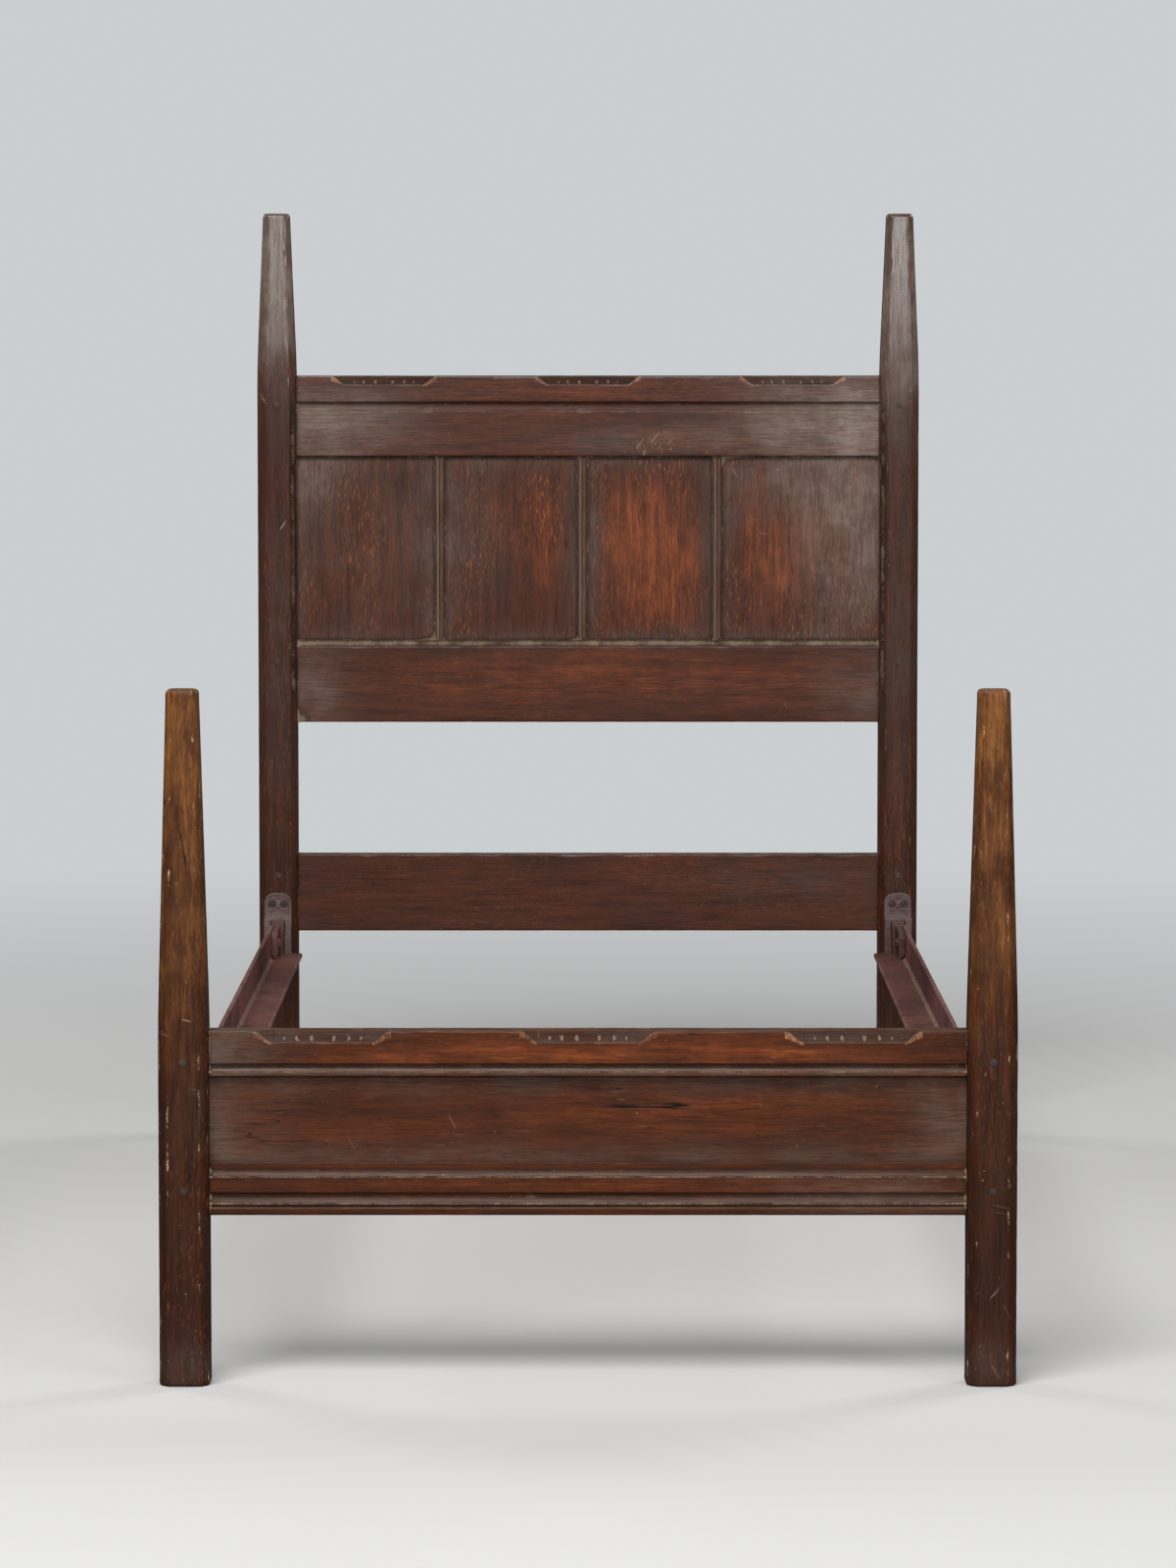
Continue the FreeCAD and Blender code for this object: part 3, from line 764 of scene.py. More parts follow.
def scratches(n: Nodes, given: Sockets) -> Sockets:
    """Short straight scratches in a few directions, and small pale knocks.

    Args:
        n: The tree to fill.
        given: Its inputs by name.

    Returns:
        A socket for each output.
    """
    made = None
    for turn, pitch in ((0.45, 1.0), (1.35, 0.8), (2.5, 1.2)):
        laid = n.add("Mapping", Vector=given["Place"], Rotation=(0.0, turn, 0.0)).outputs[0]
        line = n.noise(laid, (150.0 * pitch, 9.0, 2.5), 0.0)
        line = n.sum("ABSOLUTE", n.plus(line, -0.5))
        crowd = n.total(n.noise(laid, (70.0 * pitch, 30.0, 24.0), 1.0), (given["Scored"], 0.24))
        mark = n.times(n.remap(line, 0.022, 0.004), n.remap(crowd, 0.755, 0.815))
        made = mark if made is None else n.sum("MAXIMUM", made, mark)
    knocks = n.noise(given["Place"], (230.0, 230.0, 120.0), 2.0, 0.6)
    knocks = n.remap(n.total(knocks, (given["Scored"], 0.10)), 0.75, 0.80)
    made = n.sum("MAXIMUM", made, knocks)
    return {"Scratches": n.times(made, given["Amount"])}


def chipped_paint(n: Nodes, given: Sockets) -> Sockets:
    """Old paint: chips, thin places and the cloudy bloom on it.

    Args:
        n: The tree to fill.
        given: Its inputs by name.

    Returns:
        A socket for each output.
    """
    place = given["Place"]
    coarse = n.noise(place, (85.0, 85.0, 85.0), 4.0, 0.7)
    chips = n.remap(n.plus(coarse, n.times(given["Arris"], 0.13)), 0.69, 0.71)
    bloom = n.remap(n.noise(place, (9.0, 4.0, 9.0), 4.0, 0.65), 0.36, 0.66)
    brush = n.noise(place, (600.0, 12.0, 600.0), 2.0, 0.6)
    grit = n.noise(place, (900.0, 900.0, 900.0), 2.0, 0.6)
    height = n.plus(n.times(chips, -0.8), n.plus(n.times(brush, 0.25), n.times(grit, 0.35)))
    return {"Chips": chips, "Bloom": bloom, "Brush": n.remap(brush, 0.35, 0.65), "Height": height}


def start_material(name: str) -> tuple[Material, Nodes, Node]:
    """A new material with only its surface shader and output.

    Args:
        name: Name of the material.

    Returns:
        The material, its tree and its surface shader.
    """
    material = bpy.data.materials.new(name)
    material.use_nodes = True
    material.node_tree.nodes.clear()
    n = Nodes(material.node_tree)
    shader = n.add("BsdfPrincipled")
    out = n.add("OutputMaterial")
    n.feed(out.inputs["Surface"], shader.outputs[0])
    return material, n, shader


# ---------------------------------------------------------------- finishes
@dataclass(frozen=True)
class OakFinish:
    """Old stained and polished oak."""

    name: str
    shade: str = "2e150b"
    heart: str = "5a2a14"
    glow: str = "7b3a15"
    bright: str = "8f4b20"
    fleck: str = "7a431f"
    worn: str = "9a704f"
    # film colour: a pale grey film, and painted sheen where light reflects off the polish
    film: str = "8b7d73"
    dust: str = "7f6e5b"
    # grime colour: near-black laid into the nooks, part grime and part painted shade
    grime: str = "140b07"
    pore: str = "160c08"
    crack: str = "0c0705"
    scratch: str = "9a7f68"
    gloss: float = 0.34
    polish: float = 0.32
    coat_rough: float = 0.14
    specular: float = 0.22
    wander: float = 0.02
    fleck_share: float = 0.35
    film_share: float = 0.015
    arris_wear: float = 0.8
    dust_share: float = 0.8
    lying_dust: float = 0.55
    scratch_share: float = 0.6

    def material(self) -> Material:
        """Build the finish.

        Returns:
            The material.
        """
        material, n, shader = start_material(self.name)
        place = n.place()
        oak = n.use(oak_grain, Grain=n.layer("grain", True), Wander=self.wander)
        lying = n.times(n.sum("SUBTRACT", 1.0, n.layer("bare"), True), self.lying_dust)
        settled = n.use(
            settled_dust, Place=place, Nook=n.layer("nook"), Upward=n.upward(),
            Lying=lying, Amount=self.dust_share,
        )
        dust, grime = settled["Dust"], settled["Grime"]
        worn = n.use(worn_arris, Place=place, Arris=n.layer("arris"), Amount=self.arris_wear)["Worn"]
        scored = n.layer("scored")
        marks = n.use(scratches, Place=place, Scored=scored, Amount=self.scratch_share)["Scratches"]
        cloud = n.remap(n.noise(place, (17.0, 17.0, 17.0), 5.0, 0.68), 0.34, 0.66)
        mottle = n.noise(n.layer("grain", True), (60.0, 60.0, 22.0), 4.0, 0.68)
        glow = n.times(n.layer("glow"), n.remap(mottle, 0.34, 0.62, 0.55, 1.0))
        lit = n.times(glow, n.total(0.3, (oak["Tone"], 0.4), (cloud, 0.35)))
        hot = n.times(n.sum("MAXIMUM", oak["Streak"], oak["Flecks"]), n.total(0.4, (oak["Bands"], 0.6)))
        closed = n.total(0.38, (oak["Rings"], 0.62))
        # A grey film over the wood; its strong patches are painted sheen, the reflection of light on the
        # polish.
        haze_and_sheen = n.times(n.plus(n.layer("film"), self.film_share), n.total(0.4, (cloud, 0.6)))
        haze_and_sheen = n.sum("MINIMUM", n.times(haze_and_sheen, n.total(0.5, (oak["Streak"], 0.5))), 0.85)

        colour = n.layered(hexed(self.shade), (
            (oak["Tone"], self.heart),
            (n.times(cloud, 0.4), self.shade),
            (n.times(oak["Flecks"], self.fleck_share), self.fleck),
            (n.remap(lit, 0.02, 0.95, 0.0, 0.85), self.glow),
            (n.remap(n.times(glow, hot), 0.25, 0.95, 0.0, 0.6), self.bright),
            (n.times(n.sum("SUBTRACT", 1.0, closed), 0.35), self.shade),
            (n.times(oak["Pores"], 0.5), self.pore),
            (haze_and_sheen, self.film),
            # Painted shade with grime: the nooks darkened towards near-black.
            (n.times(grime, 0.6), self.grime),
            (worn, self.worn),
            (marks, self.scratch),
            (oak["Cracks"], self.crack),
            (dust, self.dust),
        ))
        rough = n.total(
            self.gloss, (cloud, 0.12), (haze_and_sheen, 0.2), (oak["Pores"], 0.12), (worn, 0.18), (dust, 0.6),
            (grime, 0.35),
        )
        n.feed(shader.inputs["Base Color"], colour)
        n.feed(shader.inputs["Roughness"], n.sum("MINIMUM", rough, 0.95))
        shader.inputs["Specular IOR Level"].default_value = self.specular
        dull = n.sum("MAXIMUM", n.times(dust, 2.0), n.sum("MAXIMUM", haze_and_sheen, n.times(grime, 1.3)))
        clear = n.sum("SUBTRACT", 1.0, dull, True)
        n.feed(shader.inputs["Coat Weight"], n.times(n.times(clear, closed), self.polish))
        shader.inputs["Coat Roughness"].default_value = self.coat_rough
        n.dimple(shader, n.total(oak["Height"], (marks, -0.6), (dust, 0.15)), 0.55, 0.0006)
        return material


@dataclass(frozen=True)
class PegFinish:
    """The end of an oak peg: end grain with a dark ring round it."""

    name: str = "peg_end_grain"
    shade: str = "24140e"
    middle: str = "3a2016"
    pale: str = "6b4a35"
    ring: str = "150c09"

    def material(self) -> Material:
        """Build the finish.

        Returns:
            The material.
        """
        material, n, shader = start_material(self.name)
        place = n.place()
        fine = n.noise(place, (1600.0, 60.0, 1600.0), 3.0, 0.6)
        broad = n.noise(place, (160.0, 160.0, 160.0), 2.0)
        colour = n.layered(hexed(self.shade), (
            (n.remap(fine, 0.35, 0.65), self.middle),
            (n.times(n.remap(broad, 0.45, 0.7), 0.3), self.pale),
            (n.layer("rim"), self.ring),
        ))
        n.feed(shader.inputs["Base Color"], colour)
        n.feed(shader.inputs["Roughness"], n.remap(fine, 0.3, 0.7, 0.38, 0.6))
        n.dimple(shader, fine, 0.6, 0.0004)
        return material


@dataclass(frozen=True)
class PaintedIron:
    """Iron under old brushed paint that has chipped, bloomed and been rubbed."""

    name: str
    paint: str = "5a2122"
    deep: str = "3a1416"
    rubbed: str = "7a2422"
    bare: str = "4a3a33"
    bloom: str = "7d4c41"
    dust: str = "85705f"
    edge: str = "8d6a5c"
    scratch: str = "a98a7c"
    bloom_share: float = 0.5
    gloss: float = 0.42
    dust_share: float = 0.6
    pitting: float = 0.0006

    def material(self) -> Material:
        """Build the finish.

        Returns:
            The material.
        """
        material, n, shader = start_material(self.name)
        place = n.place()
        arris = n.layer("arris")
        coat = n.use(chipped_paint, Place=place, Arris=arris)
        dust = n.use(
            settled_dust, Place=place, Nook=n.layer("nook"), Upward=n.upward(),
            Lying=0.35, Amount=self.dust_share,
        )["Dust"]
        marks = n.use(scratches, Place=place, Amount=0.7)["Scratches"]
        edge = n.use(worn_arris, Place=place, Arris=arris, Amount=0.55)["Worn"]
        colour = n.layered(hexed(self.deep), (
            (coat["Brush"], self.paint),
            (n.times(coat["Bloom"], self.bloom_share), self.bloom),
            (n.layer("rubbed"), self.rubbed),
            (edge, self.edge),
            (marks, self.scratch),
            (coat["Chips"], self.bare),
            (dust, self.dust),
        ))
        rough = n.total(self.gloss, (coat["Bloom"], 0.18), (coat["Chips"], 0.2), (dust, 0.4))
        n.feed(shader.inputs["Base Color"], colour)
        n.feed(shader.inputs["Roughness"], n.sum("MINIMUM", rough, 0.95))
        n.feed(shader.inputs["Metallic"], n.times(coat["Chips"], 0.35))
        n.dimple(shader, n.total(coat["Height"], (marks, -0.4)), 0.6, self.pitting)
        return material


@dataclass(frozen=True)
class OldSteel:
    """Screw heads gone brown."""

    name: str = "screw_steel_browned"
    steel: str = "4b4540"
    rust: str = "3a2018"
    ring: str = "140d0b"

    def material(self) -> Material:
        """Build the finish.

        Returns:
            The material.
        """
        material, n, shader = start_material(self.name)
        place = n.place()
        rust = n.remap(n.noise(place, (420.0, 420.0, 420.0), 4.0, 0.65), 0.38, 0.62)
        fine = n.noise(place, (2500.0, 2500.0, 2500.0), 2.0)
        coats = ((rust, self.rust), (n.times(n.layer("rim"), 0.7), self.ring))
        colour = n.layered(hexed(self.steel), coats)
        n.feed(shader.inputs["Base Color"], colour)
        n.feed(shader.inputs["Metallic"], n.remap(rust, 0.2, 0.8, 0.75, 0.1))
        n.feed(shader.inputs["Roughness"], n.remap(rust, 0.2, 0.8, 0.42, 0.8))
        n.dimple(shader, n.plus(fine, rust), 0.5, 0.0003)
        return material


# ---------------------------------------------------------------- carved hollows
@dataclass(frozen=True)
class Hollows:
    """Three long hollows cut from the front top arris, each with gouge marks in its slope."""

    face: float
    top: float
    reach: float = 0.031
    length: float = 0.150
    flat: float = 0.108
    depth: float = 0.0125
    spacing: float = 0.290
    fade: float = 0.020
    marks: Sequence[float] = (0.0115, 0.0275, 0.0405)
    mark_half: float = 0.0072
    mark_width: float = 0.0062
    mark_depth: float = 0.0019
    stop_cut: float = 0.0008
    bloom: float = 0.10

    def outline(self, away: Array) -> Array:
        """How far the hollow drops, by distance from its middle."""
        run = (self.length - self.flat) / 2
        return self.depth * ease_step((self.length / 2 - away) / run)

    def gouges(self, x: Array, back: Array) -> Array:
        """Depth of the thumbnail cuts.

        Args:
            x: Distance from the middle of the hollow, with its sign.
            back: Distance behind the rail's face.

        Returns:
            Extra depth at each point.
        """
        cut = np.zeros(x.shape)
        away = np.abs(x)
        for number, middle in enumerate(self.marks):
            rise = (back - 0.0105) / self.mark_half
            bulge = np.clip(1 - rise ** 2, 0, 1)
            across = (away - middle - 0.0024 * bulge) / self.mark_width
            scoop = np.where(across > 0, np.clip(1 - across / 0.16, 0, 1), np.clip(1 + across, 0, 1))
            size = 1.0 - 0.16 * number
            cut = np.maximum(cut, self.mark_depth * size * np.sqrt(bulge) * scoop)
        stop = np.exp(-(((away - self.flat / 2) / 0.0011) ** 2)) * self.stop_cut
        return np.maximum(cut, stop * (back > 0.0005))

    def carve(self, placed: Array, layers: dict[str, Array]) -> None:
        """Cut the hollows into a rail's points and mark where dust and film lie.

        Args:
            placed: The board's points.
            layers: Values carried on them, changed in place.
        """
        x, y, z = placed[..., 0], placed[..., 1], placed[..., 2]
        back = np.clip(y - self.face, 0, None)
        step = np.clip(np.round(x / self.spacing), -1, 1) * self.spacing
        away = np.abs(x - step)
        hand = 0.0005 * (speckle(placed, (0.02, 0.05, 0.05), 401) - 0.5)
        slope = self.depth * np.clip(1 - back / self.reach, 0, 1)
        drop = np.minimum(self.outline(away), slope + hand)
        drop = np.clip(drop, 0, None)
        inside = ease_step((self.outline(away) / self.depth - 0.55) / 0.4) * (slope > 0.0004)
        gouge = self.gouges(x - step, back) * inside
        near_top = np.clip((z - (self.top - self.fade)) / self.fade, 0, 1)
        z -= (drop + gouge * (near_top > 0.9)) * near_top
        on_slope = (near_top > 0.9) * np.clip(drop / 0.003, 0, 1)
        layers["film"] += self.bloom * on_slope
        layers["bare"] += on_slope * (back > 0.0015)
        layers["glow"] *= 1 - on_slope
        layers["arris"] *= 1 - 0.6 * on_slope * (back > 0.004)
        cut = np.clip(2.4 * gouge / self.mark_depth - 0.8, 0, 1)
        layers["nook"] += 0.30 * on_slope + 1.2 * on_slope * cut
        sides = (away > self.flat / 2) & (away < self.length / 2)
        lip = np.exp(-((back / 0.002) ** 2)) * sides * (near_top > 0.6)
        layers["arris"] = np.maximum(layers["arris"], 0.75 * lip)

    def stations(self, low: float, high: float) -> Array:
        """Places along the rail: close together through the hollows.

        Args:
            low: One end.
            high: The other end.

        Returns:
            The places.
        """
        marks = list(np.arange(low, high, 0.005)) + [high]
        for step in (-1, 0, 1):
            middle = step * self.spacing
            first, last = middle - self.length / 2 - 0.002, middle + self.length / 2 + 0.002
            marks = [m for m in marks if not first - 0.002 < m < last + 0.002]
            marks += list(np.linspace(first, last, 141))
        return np.array(sorted(marks))


# ---------------------------------------------------------------- the two ends in oak
def plain_stations(low: float, high: float, step: float = 0.006) -> Array:
    """Even places along a board, with a few close to each end.

    Args:
        low: One end.
        high: The other end.
        step: Spacing.

    Returns:
        The places.
    """
    near = np.array(STATION_STEPS)
    margin = STATION_STEPS[-1]
    count = round((high - low - 2 * margin) / step)
    middle = np.linspace(low + margin, high - margin, count + 1)[1:-1]
    return np.concatenate([low + near, middle, (high - near)[::-1]])


@dataclass(frozen=True)
class Groove:
    """The plough groove that takes a panel."""

    front: float = 0.0128
    back: float = 0.0222
    depth: float = 0.008
    ease: float = 0.0004

    def corners(self, z: float, depth: float) -> list[tuple[float, float]]:
        """Corners of the groove from front to back, at edge height z; depth is signed upwards."""
        return [(self.front, z), (self.front, z + depth), (self.back, z + depth), (self.back, z)]


@dataclass
class OakPost:
    """An eight-sided tapering post."""

    node: str
    height: float
    taper_start: float
    top_size: float
    finish: Material
    seed: int
    size: float = 0.056
    chamfer: float = 0.010
    top_chamfer: float = 0.0065
    ease: float = 0.040
    top_bevel: float = 0.005
    foot_bevel: float = 0.004
    inset: float = 0.00015
    arris: float = 0.0024
    wear: Wear = Wear()
    dusty_side: int = 0
    chip: float = 0.0011
    unevenness: float = 0.0003
    centre: Array = field(init=False)

    def half_at(self, z: Array, half: float, top_half: float) -> Array:
        """Half width at each height.

        Args:
            z: Heights.
            half: Half width below the taper.
            top_half: Half width at the very top.

        Returns:
            Half widths, with the bevels of the top and foot taken off.
        """
        lean = math.atan((half - top_half) / (self.height - self.taper_start))
        radius = self.ease / math.tan(lean / 2)
        low, high = self.taper_start - self.ease, self.taper_start + self.ease * math.cos(lean)
        curve = half - (radius - np.sqrt(radius ** 2 - np.clip(z - low, 0, high - low) ** 2))
        width = np.where(z > high, half - math.tan(lean) * (z - self.taper_start), curve)
        over = np.clip((z - (self.height - self.top_bevel)) / self.top_bevel, 0, 1)
        width = width - self.top_bevel * (1 - np.sqrt(1 - over ** 2))
        under = np.clip((self.foot_bevel - z) / self.foot_bevel, 0, 1)
        return width - self.foot_bevel * (1 - np.sqrt(1 - under ** 2)) - self.inset

    def stations(self) -> Array:
        """Heights of the rings, close together at the foot and the top.

        Returns:
            The heights, from the floor up.
        """
        foot = self.foot_bevel * np.array([0, 0.12, 0.35, 0.7])
        top = self.height - self.top_bevel * np.array([1.0, 0.7, 0.4, 0.18, 0.05, 0.0])
        middle = np.arange(self.foot_bevel, top[0] - 0.003, 0.0055)
        return np.concatenate([foot, middle, top])

    def make(self) -> None:
        """Build the post and hand it over."""
        low, high = span(self.node)
        self.centre = (low[:2] + high[:2]) / 2
        z = self.stations()
        face = self.half_at(z, self.size / 2, self.top_size / 2)
        corner_low = math.sqrt(0.5) * (self.size - self.chamfer)
        corner_top = math.sqrt(0.5) * (self.top_size - self.top_chamfer)
        slant = math.sqrt(2) * self.half_at(z, corner_low, corner_top) - face
        order = (
            (1, -1, False), (1, 1, False), (1, 1, True), (-1, 1, True),
            (-1, 1, False), (-1, -1, False), (-1, -1, True), (1, -1, True),
        )
        corners = []
        for side, end, swapped in order:
            long, short = (slant, face) if swapped else (face, slant)
            corners.append(np.stack([self.centre[0] + side * long, self.centre[1] + end * short], axis=-1))
        heights = z.copy()
        heights[-1] = self.height
        board = Board(
            f"{self.node}_finished", Along.Z, np.stack(corners, axis=1), [self.arris] * len(order),
            heights, self.seed, step=0.008, chip=self.chip, unevenness=self.unevenness,
            arris_reach=0.0026, wear=self.wear, end_dust=0.0, carve=self.dust_chamfers,
        )
        hand_over(board.make(), Body.ENDS, self.finish, self.node)

    def dust_chamfers(self, placed: Array, layers: dict[str, Array]) -> None:
        """Let dust lie on the chamfer next to the panels, and wear the arrises near the foot.

        Args:
            placed: The board's points.
            layers: Values carried on them, changed in place.
        """
        if self.dusty_side:
            x = (placed[..., 0] - self.centre[0]) * self.dusty_side
            y = self.centre[1] - placed[..., 1]
            on_chamfer = ease_step((x - 0.017) / 0.006) * ease_step((y - 0.017) / 0.006)
            z = placed[..., 2]
            level = ease_step((z - 0.60) / 0.05) * ease_step((1.06 - z) / 0.04)
            layers["nook"] += 0.80 * on_chamfer * level
        foot = ease_step((0.05 - placed[..., 2]) / 0.05)
        layers["arris"] += 0.35 * foot * speckle(placed, (0.012, 0.012, 0.012), self.seed + 9)


@dataclass
class OakRail:
    """One rail: a moulded section along X between the posts."""

    node: str
    outline: Section
    finish: Material
    seed: int
    half: float
    hollowed: bool = False
    bloom: float = 0.10
    wear: Wear = Wear()
    nook_share: float = 0.32

    def make(self) -> None:
        """Build the rail and hand it over."""
        low, high = span(self.node)
        corners = np.array([(low[1] + back, high[2] - drop) for back, drop, _ in self.outline])
        eases = [ease for _, _, ease in self.outline]
        stations = plain_stations(-self.half, self.half)
        edge_steps: dict[int, float] = {}
        carve = None
        if self.hollowed:
            hollows = Hollows(low[1], high[2], bloom=self.bloom)
            stations = hollows.stations(-self.half, self.half)
            edge_steps = {0: 0.0016, len(eases) - 1: 0.0013}
            carve = hollows.carve
        board = Board(
            f"{self.node}_finished", Along.X, corners, eases, stations, self.seed,
            edge_steps=edge_steps, wear=self.wear, nook_share=self.nook_share, carve=carve,
        )
        hand_over(board.make(), Body.ENDS, self.finish, self.node)


def grooved_below(height: float, thickness: float) -> list[tuple[float, float, float]]:
    """Underside of a rail with its groove, from front to back, and the plain back of the rail."""
    groove = [(y, z, Groove.ease) for y, z in Groove().corners(height, -Groove.depth)]
    return [*groove, (thickness, height, UNDER_EASE), (thickness, 0.0, BACK_EASE)]


def grooved_above(height: float, thickness: float) -> list[tuple[float, float, float]]:
    """Back and top edge of a rail with a groove in the top, from the underside round to the front."""
    groove = [(y, z, Groove.ease) for y, z in reversed(Groove().corners(0.0, Groove.depth))]
    return [(thickness, height, BACK_EASE), (thickness, 0.0, UNDER_EASE), *groove]


@dataclass
class OakPanel:
    """A thin board held in grooves, its face very slightly uneven."""

    node: str
    along: Along
    finish: Material
    seed: int
    wear: Wear = Wear()
    dusty: float = 1.0

    def make(self) -> None:
        """Build the panel and hand it over."""
        low, high = span(self.node)
        if self.along is Along.Z:
            corners = [(low[0], low[1]), (high[0], low[1]), (high[0], high[1]), (low[0], high[1])]
            stations = plain_stations(low[2], high[2])
        else:
            corners = [(low[1], high[2]), (low[1], low[2]), (high[1], low[2]), (high[1], high[2])]
            stations = plain_stations(low[0], high[0])
        board = Board(
            f"{self.node}_finished", self.along, np.array(corners), [0.0005] * 4, stations, self.seed,
            step=0.006, chip=0.0002, unevenness=0.0005, wear=self.wear, end_dust=0.0,
            carve=self.dust_border,
        )
        hand_over(board.make(), Body.ENDS, self.finish, self.node)

    def dust_border(self, placed: Array, layers: dict[str, Array]) -> None:
        """Lay dust where the panel meets its frame, and make a margin along the frame darker and greyer.

        Args:
            placed: The board's points.
            layers: Values carried on them, changed in place.
        """
        low, high = span(self.node)
        sides = np.minimum(placed[..., 0] - low[0], high[0] - placed[..., 0]) - 0.005
        ends = np.minimum(placed[..., 2] - low[2], high[2] - placed[..., 2]) - 0.008
        inward = np.clip(np.minimum(sides, ends), 0, None)
        ragged = speckle(placed, (0.009, 0.009, 0.009), self.seed + 5)
        layers["nook"] += self.dusty * (0.30 + 0.5 * ragged) * np.exp(-((inward / 0.0018) ** 2))
        across, along = np.clip(sides, 0, None), np.clip(ends, 0, None)
        corner = np.exp(-((across / 0.016) ** 2) - (along / 0.010) ** 2)
        fickle = ease_step((speckle(placed, (0.11, 0.11, 0.11), self.seed + 6) - 0.45) / 0.3)
        layers["nook"] += 0.70 * self.dusty * corner * fickle
        behind = placed[..., 1] > (low[1] + high[1]) / 2
        layers["glow"] *= ease_step(inward / 0.03) * np.where(behind, 0.25, 1.0)
        layers["film"] *= np.where(behind, 0.5, 1.0)
        layers["film"] += 0.16 * np.exp(-((inward / 0.018) ** 2))


@dataclass
class Muntin:
    """A slim upright between panels: a narrow fillet, a quirk and a round bead."""

    node: str
    finish: Material
    seed: int
    low: float
    top: float
    fillet: float = 0.0025
    quirk: float = 0.002
    quirk_depth: float = 0.003
    thickness: float = 0.015
    groove_depth: float = 0.004
    groove_front: float = 0.0038
    groove_back: float = 0.0132

    def make(self) -> None:
        """Build the muntin and hand it over."""
        corner_low, corner_high = span(self.node)
        left, right, front = corner_low[0], corner_high[0], corner_low[1]
        bead = left + self.fillet + self.quirk
        radius = (right - bead) / 2
        angles = np.linspace(math.pi, 0, 9)[1:-1]
        across = [bead + radius + radius * math.cos(a) for a in angles]
        rounded = [(x, self.quirk_depth * (1 - math.sin(a)), 0.0003) for x, a in zip(across, angles)]
        deep = self.groove_depth
        side = [
            (self.groove_back, 0.0), (self.groove_back, deep), (self.groove_front, deep),
            (self.groove_front, 0.0),
        ]
        outline = [
            (left, 0.0, 0.0005),
            (left + self.fillet, 0.0, 0.0005),
            (left + self.fillet, self.quirk_depth, 0.0002),
            (bead, self.quirk_depth, 0.0002),
            *rounded,
            (right, self.quirk_depth, 0.0003),
            *((right - inward, back, 0.0003) for back, inward in reversed(side)),
            (right, self.thickness, 0.0006),
            (left, self.thickness, 0.0006),
            *((left + inward, back, 0.0003) for back, inward in side),
        ]
        corners = np.array([(x, front + back) for x, back, _ in outline])
        board = Board(
            f"{self.node}_finished", Along.Z, corners, [e for _, _, e in outline],
            plain_stations(self.low, self.top), self.seed, step=0.0035, turns=2,
            chip=0.0004, unevenness=0.0001, arris_reach=0.0010, nook_reach=0.0022, carve=self.dust_quirk,
        )
        hand_over(board.make(), Body.ENDS, self.finish, self.node)

    def dust_quirk(self, placed: Array, layers: dict[str, Array]) -> None:
        """Dust lies where the muntin meets the panels.

        Args:
            placed: The board's points.
            layers: Values carried on them, changed in place.
        """
        low, high = span(self.node)
        edge = np.minimum(placed[..., 0] - low[0], high[0] - placed[..., 0])
        ends = np.clip(np.minimum(placed[..., 2] - self.low, self.top - placed[..., 2]), 0, None)
        at_ends = 0.18 + 0.65 * np.exp(-((ends / 0.010) ** 2))
        layers["nook"] += at_ends * np.exp(-((edge / 0.0012) ** 2))
        layers["film"] += 0.22
        layers["arris"] *= 0.35


# ---------------------------------------------------------------- castings
def made_plain(piece: Piece) -> None:
    """Turn a piece's modifiers into its own plain mesh.

    Args:
        piece: The piece.
    """
    evaluated = piece.evaluated_get(bpy.context.evaluated_depsgraph_get())
    mesh = bpy.data.meshes.new_from_object(evaluated)
    piece.modifiers.clear()
    piece.data = mesh


@dataclass
class Casting:
    """A rough casting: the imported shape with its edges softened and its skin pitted."""

    node: str
    body: Body
    slot: Slot
    finish: Material
    voxel: float = 0.00115
    soften: int = 3
    pit: float = 0.00035
    seed: int = 7

    def make(self) -> None:
        """Build the casting and hand it over."""
        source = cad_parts[self.node].data.copy()
        shell = bmesh.new()
        shell.from_mesh(source)
        bmesh.ops.remove_doubles(shell, verts=shell.verts, dist=0.00001)
        shell.to_mesh(source)
        shell.free()
        source.materials.clear()
        piece = linked(bpy.data.objects.new(f"{self.node}_finished", source))
        remesh = piece.modifiers.new("skin", "REMESH")
        remesh.mode = "VOXEL"
        remesh.voxel_size = self.voxel
        smooth = piece.modifiers.new("soften", "SMOOTH")
        smooth.iterations = self.soften
        smooth.factor = 0.5
        made_plain(piece)
        self.skin(piece.data)
        hand_over(piece, self.body, self.finish, self.node)

    def skin(self, mesh: Mesh) -> None:
        """Pit the skin and mark its arrises and nooks.

        Args:
            mesh: The casting's mesh, changed in place.
        """
        points = places_of(mesh)
        count = len(points)
        normals = np.zeros(count * 3, np.float32)
        mesh.vertex_normals.foreach_get("vector", normals)
        normals = normals.reshape(-1, 3)
        edges = np.zeros(len(mesh.edges) * 2, np.int32)
        mesh.edges.foreach_get("vertices", edges)
        edges = edges.reshape(-1, 2)
        degree = np.bincount(edges.ravel(), minlength=count)[:, None]

        def averaged(values: Array) -> Array:
            """Mean of each corner's neighbours.

            Args:
                values: Values on the corners.

            Returns:
                The means.
            """
            total = np.zeros((count, values.shape[1]))
            np.add.at(total, edges[:, 0], values[edges[:, 1]])
            np.add.at(total, edges[:, 1], values[edges[:, 0]])
            return total / np.maximum(degree, 1)

        bend = np.sum((averaged(points) - points) * normals, axis=1, keepdims=True) / self.voxel
        for _ in range(2):
            bend = 0.5 * bend + 0.5 * averaged(bend)
        bend = bend[:, 0]
        pits = ease_step((speckle(points, (0.0035, 0.0035, 0.0035), self.seed) - 0.5) / 0.4)
        points -= normals * (self.pit * pits)[:, None]
        mesh.vertices.foreach_set("co", points.ravel())
        arris, nook = np.clip(-bend * 6, 0, 1), np.clip(bend * 7, 0, 1)
        store(mesh, {"arris": arris, "nook": nook, "rubbed": np.zeros(count)})
        mesh.shade_smooth()


